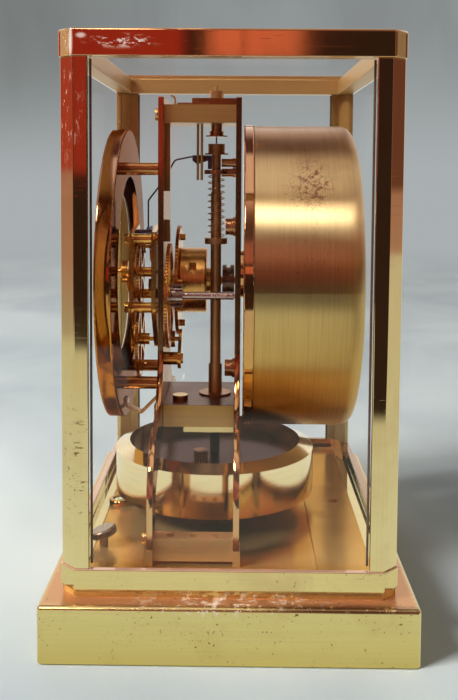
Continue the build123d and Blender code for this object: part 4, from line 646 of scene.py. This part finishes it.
dialCentre = (0.0, 0.1364)
drumCentre = (0.0, 0.1359)
pendulumAxis = (0.0, -0.0078)
movementLooks = [
    ({"name": "floorBrass", "tones": [(0.0, "e0b470"), (1.0, "f0c884")], "brush": (20.0, 1800.0, 1800.0),
      "metallic": 0.75, "rough": (0.18, 0.26), "tarnish": ("94602c", 0.5), "edgeTint": "c09058",
      "hairTint": 0.08, "hairDepth": 0.10, "relief": 0.04}, ["floor_plate"]),
    ({"name": "levelBrass", "tones": [(0.0, "c88a50"), (1.0, "e0b070")], "rough": (0.10, 0.18),
      "turned": ("Z", (0.003, -0.0512))}, ["spirit_level"]),
    ({"name": "knobMetal", "tones": [(0.0, "a08c78"), (1.0, "b49c84")], "rough": (0.2, 0.3),
      "turned": ("Z", (0.052, -0.0523))}, ["lock_knob"]),
    ({"name": "liftBrass", "tones": [(0.0, "b89858"), (1.0, "c8a868")], "rough": (0.25, 0.35),
      "turned": ("Z", pendulumAxis)}, ["lift_plate", "foot_left", "foot_right"]),
    # paler at the foot and redder towards the top: a painted reflection of the pale table and the red
    # curtains
    ({"name": "plateBrass", "tones": [(0.0, "d0a878"), (0.3, "c89868"), (1.0, "c08c60")],
      "along": ("Z", 0.03, 0.215), "brush": (2200.0, 2200.0, 24.0), "rough": (0.08, 0.16),
      "edgeTint": "c09c7c"},
     ["front_plate", "rear_plate"]),
    ({"name": "guardBrass", "tones": [(0.0, "c89c60"), (1.0, "d4a868")], "brush": (2200.0, 2200.0, 24.0),
      "rough": (0.30, 0.40)}, ["guard_strips"]),
    ({"name": "blockBrass", "tones": [(0.0, "c4985c"), (1.0, "cca464")], "brush": (2200.0, 24.0, 2200.0),
      "rough": (0.30, 0.42), "metallic": 0.8,
      # a darker top face: painted shade
      "zones": [{"centre": (0.0, -0.0146, 0.0799), "size": (0.03, 0.03, 0.0002), "tone": "6c4024"}]},
     ["top_block", "bottom_block"]),
    ({"name": "topPlateBrass", "tones": [(0.0, "b07850"), (1.0, "b88058")], "brush": (2200.0, 24.0, 2200.0),
      "rough": (0.22, 0.34)}, ["top_plate"]),
    ({"name": "footBlockBrass", "tones": [(0.0, "d8b078"), (1.0, "e0b880")], "brush": (2200.0, 24.0, 2200.0),
      "rough": (0.26, 0.36), "metallic": 0.6}, ["foot_blocks"]),
    ({"name": "lockBrass", "tones": [(0.0, "d0b880"), (1.0, "dcc48c")], "rough": (0.15, 0.25),
      "brush": (2200.0, 24.0, 2200.0)}, ["lock_plate"]),
    ({"name": "screwBrass", "tones": [(0.0, "c8a060"), (1.0, "dcb470")], "rough": (0.2, 0.3)},
     ["plate_screws"]),
    ({"name": "postBrass", "tones": [(0.0, "a87448"), (1.0, "b48050")], "rough": (0.16, 0.26)},
     ["dial_supports"]),
    # orange-gold at the foot, browner in the middle and mauve at the top: a painted reflection of the room
    ({"name": "bezelBrass", "tones": [(0.0, "d8a044"), (0.3, "c08438"), (0.62, "b88450"), (1.0, "c4a494")],
      "along": ("Z", 0.07, 0.202), "turned": ("Y", dialCentre), "rough": (0.05, 0.12), "hairDepth": 0.08,
      "edgeTint": "9c7458", "relief": 0.04}, ["dial_ring"]),
    ({"name": "wheelBrass", "tones": [(0.0, "c89048"), (1.0, "d8a050")], "rough": (0.18, 0.28),
      "brush": (1400.0, 1400.0, 1400.0)},
     ["hour_wheel", "minute_wheel", "centre_arbor", "great_wheel", "second_wheel", "third_wheel",
      "escape_wheel"]),
    ({"name": "bridgeBrass", "tones": [(0.0, "d09c50"), (1.0, "dca85c")], "rough": (0.16, 0.26),
      "brush": (2200.0, 2200.0, 24.0)}, ["bridge_front", "bridge_rear", "train_cock"]),
    ({"name": "bridgePostBrass", "tones": [(0.0, "d8a458"), (1.0, "e0b468")], "rough": (0.12, 0.2)},
     ["bridge_pillars"]),
    ({"name": "barrelBrass", "tones": [(0.0, "c89450"), (1.0, "d0a05c")], "rough": (0.24, 0.34),
      "turned": ("Y", (-0.01469, 0.131085))}, ["barrel"]),
    ({"name": "pinionSteel", "tones": [(0.0, "b09c98"), (1.0, "c0aca6")], "rough": (0.22, 0.32),
      "tarnish": ("605054", 0.3)}, ["second_pinion"]),
    ({"name": "bluedSteel", "tones": [(0.0, "5c5468"), (1.0, "706478")], "rough": (0.25, 0.35),
      "tarnish": ("403848", 0.3)}, ["pallet_lever"]),
    ({"name": "darkSteel", "tones": [(0.0, "6a5448"), (1.0, "7c6454")], "rough": (0.3, 0.4)},
     ["winding_pulley"]),
    ({"name": "headBrass", "tones": [(0.0, "c89868"), (1.0, "d0a878")], "rough": (0.2, 0.3), "metallic": 0.8,
      "turned": ("Z", pendulumAxis)}, ["suspension_head"]),
    ({"name": "tubeCopper", "tones": [(0.0, "b88c60"), (1.0, "c89c70")], "rough": (0.32, 0.42),
      "metallic": 0.7, "turned": ("Z", pendulumAxis)}, ["suspension_tube"]),
    ({"name": "springSteel", "tones": [(0.0, "907860"), (1.0, "a48c70")], "rough": (0.25, 0.35)},
     ["tube_spring"]),
    ({"name": "bracketBronze", "tones": [(0.0, "b8845c"), (1.0, "c49068")], "rough": (0.2, 0.3),
      "metallic": 0.85}, ["tube_brackets"]),
    ({"name": "ribbonMetal", "tones": [(0.0, "808088"), (1.0, "94949c")], "rough": (0.2, 0.3)},
     ["suspension_wire"]),
    ({"name": "pendulumBrass", "tones": [(0.0, "e8c888"), (0.5, "ecd8ac"), (1.0, "f0dcb4")],
      "along": ("Z", 0.037, 0.059), "rough": (0.08, 0.15), "turned": ("Z", pendulumAxis)},
     ["pendulum_rim"]),
    ({"name": "pendulumDark", "tones": [(0.0, "5c4434"), (1.0, "6c503e")], "rough": (0.14, 0.22),
      "metallic": 0.6, "tarnish": ("20140e", 0.3), "hairTint": 0.05, "edgeTint": "a07c60",
      "turned": ("Z", pendulumAxis)}, ["pendulum_disc"]),
    ({"name": "balanceCopper", "tones": [(0.0, "b87848"), (1.0, "c48454")], "rough": (0.2, 0.3)},
     ["pendulum_knob"]),
    # paler between about 160 and 185 mm, a painted highlight where the windows reflect; pinker at the top
    # and more orange at the foot, a painted reflection of the room and the floor plate
    ({"name": "drumBronze",
      "tones": [(0.0, "c89c50"), (0.4, "ccac6c"), (0.68, "dcc494"), (0.85, "dcc090"), (1.0, "b88c68")],
      "along": ("Z", 0.068, 0.204), "turned": ("Y", drumCentre), "rough": (0.38, 0.41), "hairTint": 0.12,
      "brushedRound": 0.94, "hairRough": 0.0, "hairDepth": 0.0, "fineDepth": 0.0, "relief": 0.02,
      "patches": [{"centre": (0.052, 0.033, 0.179), "size": (0.03, 0.010, 0.013), "tone": "8a4c40",
                   "strength": 0.8, "grain": 380.0, "fill": 0.11},
                  {"centre": (0.052, 0.031, 0.177), "size": (0.03, 0.014, 0.017), "tone": "642c24",
                   "strength": 0.9, "grain": 1100.0, "fill": 0.07},
                  {"centre": (0.060, 0.030, 0.150), "size": (0.03, 0.020, 0.034), "tone": "70382c",
                   "strength": 0.7, "grain": 760.0, "fill": 0.02}]}, ["drum_shell"]),
    # gold at the foot and pinker towards the top: a painted reflection of the room
    ({"name": "drumRimBronze", "tones": [(0.0, "d0a048"), (0.5, "c89c6c"), (1.0, "c89878")],
      "along": ("Z", 0.068, 0.204), "turned": ("Y", drumCentre), "rough": (0.05, 0.10)}, ["drum_cover"]),
    ({"name": "bellowsBrass", "tones": [(0.0, "b8984c"), (1.0, "c8a85c")], "rough": (0.3, 0.4),
      "turned": ("Y", drumCentre)}, ["bellows_capsule", "bellows_head"]),
    ({"name": "markerGilt", "tones": [(0.0, "d8b050"), (1.0, "e4c068")], "rough": (0.1, 0.2)},
     ["hour_markers", "hour_hand", "minute_hand"]),
]
for look, names in movementLooks:
    dress(makeMetal(look), *names)
soften(0.00025, "front_plate", "rear_plate", "top_block", "bottom_block", "foot_blocks", "lock_plate",
       "top_plate", "bridge_front", "bridge_rear")
print("movement dressed")

dialLook = {"frontDepth": -0.0520, "enamelDepth": 0.0002, "white": ("d8d5cc", "e4e2da"),
            "back": ("5c463a", "6c5648"), "edgeTint": "705040", "ink": ("2c2622", "3a322c"),
            "trackRadius": 0.0552, "tickLength": 0.0018, "tickWidth": 0.00035, "hourWidth": 1.8,
            "inkThickness": 0.00006, "ringSteps": 120}


def makeDialEnamel(look):
    # white enamel in front, bare metal behind
    material, tree, shader = newMaterial("dialEnamel")
    place = placeVector(tree)
    mottle = noise(tree, place, 60.0, 4.0, 0.6)
    behind = spread(tree, axisOf(tree, place, "Y"), look["frontDepth"],
                    look["frontDepth"] + look["enamelDepth"])
    put(tree, blendColour(tree, behind, twoTones(tree, mottle, look["white"]),
                          twoTones(tree, mottle, look["back"])), shader.inputs["Base Color"])
    put(tree, behind, shader.inputs["Metallic"])
    put(tree, spread(tree, mottle, 0.3, 0.7, 0.28, 0.4), shader.inputs["Roughness"])
    shader.inputs["Specular Tint"].default_value = linear(look["edgeTint"])
    return material


def makeInk(look):
    material, tree, shader = newMaterial("trackInk")
    wear = noise(tree, placeVector(tree), fineScale, 3.0, 0.6)
    put(tree, twoTones(tree, wear, look["ink"]), shader.inputs["Base Color"])
    put(tree, spread(tree, wear, 0.3, 0.7, 0.4, 0.6), shader.inputs["Roughness"])
    return material


def makeMinuteTrack(look):
    # two thin rings with a tick at each minute between them, on the front of the dial
    shape = bmesh.new()
    front = nodeBox("dial_plate")[0].y - look["inkThickness"]
    centre = Vector((dialCentre[0], front, dialCentre[1]))
    inner = look["trackRadius"]
    outer = inner + look["tickLength"]
    for minute in range(60):
        turn = Matrix.Rotation(math.radians(6 * minute), 4, "Y")
        wide = look["tickWidth"] * (look["hourWidth"] if minute % 5 == 0 else 1.0)
        corners = [shape.verts.new(centre + turn @ Vector((side * wide / 2, 0.0, reach)))
                   for side, reach in ((-1, inner), (1, inner), (1, outer), (-1, outer))]
        shape.faces.new(corners)
    steps = look["ringSteps"]
    turns = [Matrix.Rotation(math.radians(360 / steps * step), 4, "Y") for step in range(steps)]
    for radius in (inner, outer):
        rim = [[shape.verts.new(centre + turn @ Vector((0.0, 0.0, radius + side * look["tickWidth"] / 2)))
                for turn in turns] for side in (-1, 1)]
        for step in range(steps):
            after = (step + 1) % steps
            shape.faces.new((rim[0][step], rim[0][after], rim[1][after], rim[1][step]))
    thick = bmesh.ops.extrude_face_region(shape, geom=list(shape.faces))
    moved = [item for item in thick["geom"] if isinstance(item, bmesh.types.BMVert)]
    bmesh.ops.translate(shape, verts=moved, vec=(0.0, look["inkThickness"], 0.0))
    bmesh.ops.recalc_face_normals(shape, faces=list(shape.faces))
    newPiece("minute_track", shape, makeInk(look), "case")


dress(makeDialEnamel(dialLook), "dial_plate")
makeMinuteTrack(dialLook)
print("dial finished")

levelLook = {"liquid": ("b8b45c", "dcd88c"), "bubble": "f4f4dc", "ring": "3a3420", "radius": 0.0039,
             "rise": 0.0007, "sunk": 0.0009, "bubbleRadius": (0.0010, 0.0013), "ringRadius": 0.0016,
             "ringWidth": 0.0003, "ringEdge": 0.0001, "rows": 6, "steps": 36}


def makeLevelGlass(look):
    # a low domed glass in the level, with a bubble and a marking ring under it
    low, high = nodeBox("spirit_level")
    centre = (low + high) / 2
    material, tree, shader = newMaterial("levelLiquid")
    place = placeVector(tree)
    reach = straight(tree, *sidesOf(tree, place, "Z", (centre.x, centre.y)))
    liquid = twoTones(tree, noise(tree, place, 300.0, 2.0), look["liquid"])
    bubble = spread(tree, reach, *look["bubbleRadius"], 1.0, 0.0)
    ringInner, ringOuter = look["ringRadius"], look["ringRadius"] + look["ringWidth"]
    ring = maths(tree, "MULTIPLY", spread(tree, reach, ringInner - look["ringEdge"], ringInner),
                 spread(tree, reach, ringOuter, ringOuter + look["ringEdge"], 1.0, 0.0))
    colour = blendColour(tree, bubble, liquid, linear(look["bubble"]))
    put(tree, blendColour(tree, ring, colour, linear(look["ring"])), shader.inputs["Base Color"])
    shader.inputs["Roughness"].default_value = 0.06
    shader.inputs["Coat Weight"].default_value = 1.0
    shape = bmesh.new()
    edge = high.z - look["sunk"]
    top = shape.verts.new((centre.x, centre.y, edge + look["rise"]))
    steps = look["steps"]
    turns = [math.radians(360 / steps * step) for step in range(steps)]
    rows = []
    for row in range(1, look["rows"] + 1):
        share = row / look["rows"]
        radius = look["radius"] * share
        height = edge + look["rise"] * (1 - share * share)
        rows.append([shape.verts.new((centre.x + radius * math.cos(turn), centre.y + radius * math.sin(turn),
                                      height)) for turn in turns])
    for step in range(steps):
        after = (step + 1) % steps
        shape.faces.new((top, rows[0][step], rows[0][after]))
        for inner, outer in zip(rows, rows[1:]):
            shape.faces.new((inner[step], outer[step], outer[after], inner[after]))
    newPiece("level_glass", shape, material, "case", smooth=True)


makeLevelGlass(levelLook)
print("level filled")

sealLook = {"wide": 0.0009, "deep": 0.0007, "tall": 0.1904, "middle": 0.1292, "gap": 0.0002,
            "edgeRound": 0.00015, "tones": ("54402e", "6c5440")}


def makeSeals(look):
    # dark strips along the upright edges of the side panes, between glass and pillar
    material, tree, shader = newMaterial("sealFelt")
    nap = noise(tree, placeVector(tree), 1500.0, 3.0, 0.7)
    put(tree, twoTones(tree, nap, look["tones"]), shader.inputs["Base Color"])
    put(tree, spread(tree, nap, 0.3, 0.7, 0.75, 0.95), shader.inputs["Roughness"])
    shape = bmesh.new()
    for pane, side in (("side_glass_left", -1), ("side_glass_right", 1)):
        low, high = nodeBox(pane)
        face = (low.x if side > 0 else high.x) - side * look["gap"]
        for pillar, way in (("pillar_front_right", 1), ("pillar_rear_right", -1)):
            edgeLow, edgeHigh = nodeBox(pillar)
            edge = edgeHigh.y if way > 0 else edgeLow.y
            made = bmesh.ops.create_cube(shape, size=1.0)["verts"]
            bmesh.ops.scale(shape, verts=made, vec=(look["deep"], look["wide"], look["tall"]))
            bmesh.ops.translate(shape, verts=made, vec=(face - side * look["deep"] / 2,
                                                        edge + way * look["wide"] / 2, look["middle"]))
    bmesh.ops.bevel(shape, geom=list(shape.edges), offset=look["edgeRound"], segments=1, affect="EDGES")
    newPiece("pane_seals", shape, material, "case")


makeSeals(sealLook)
print("seals fitted")
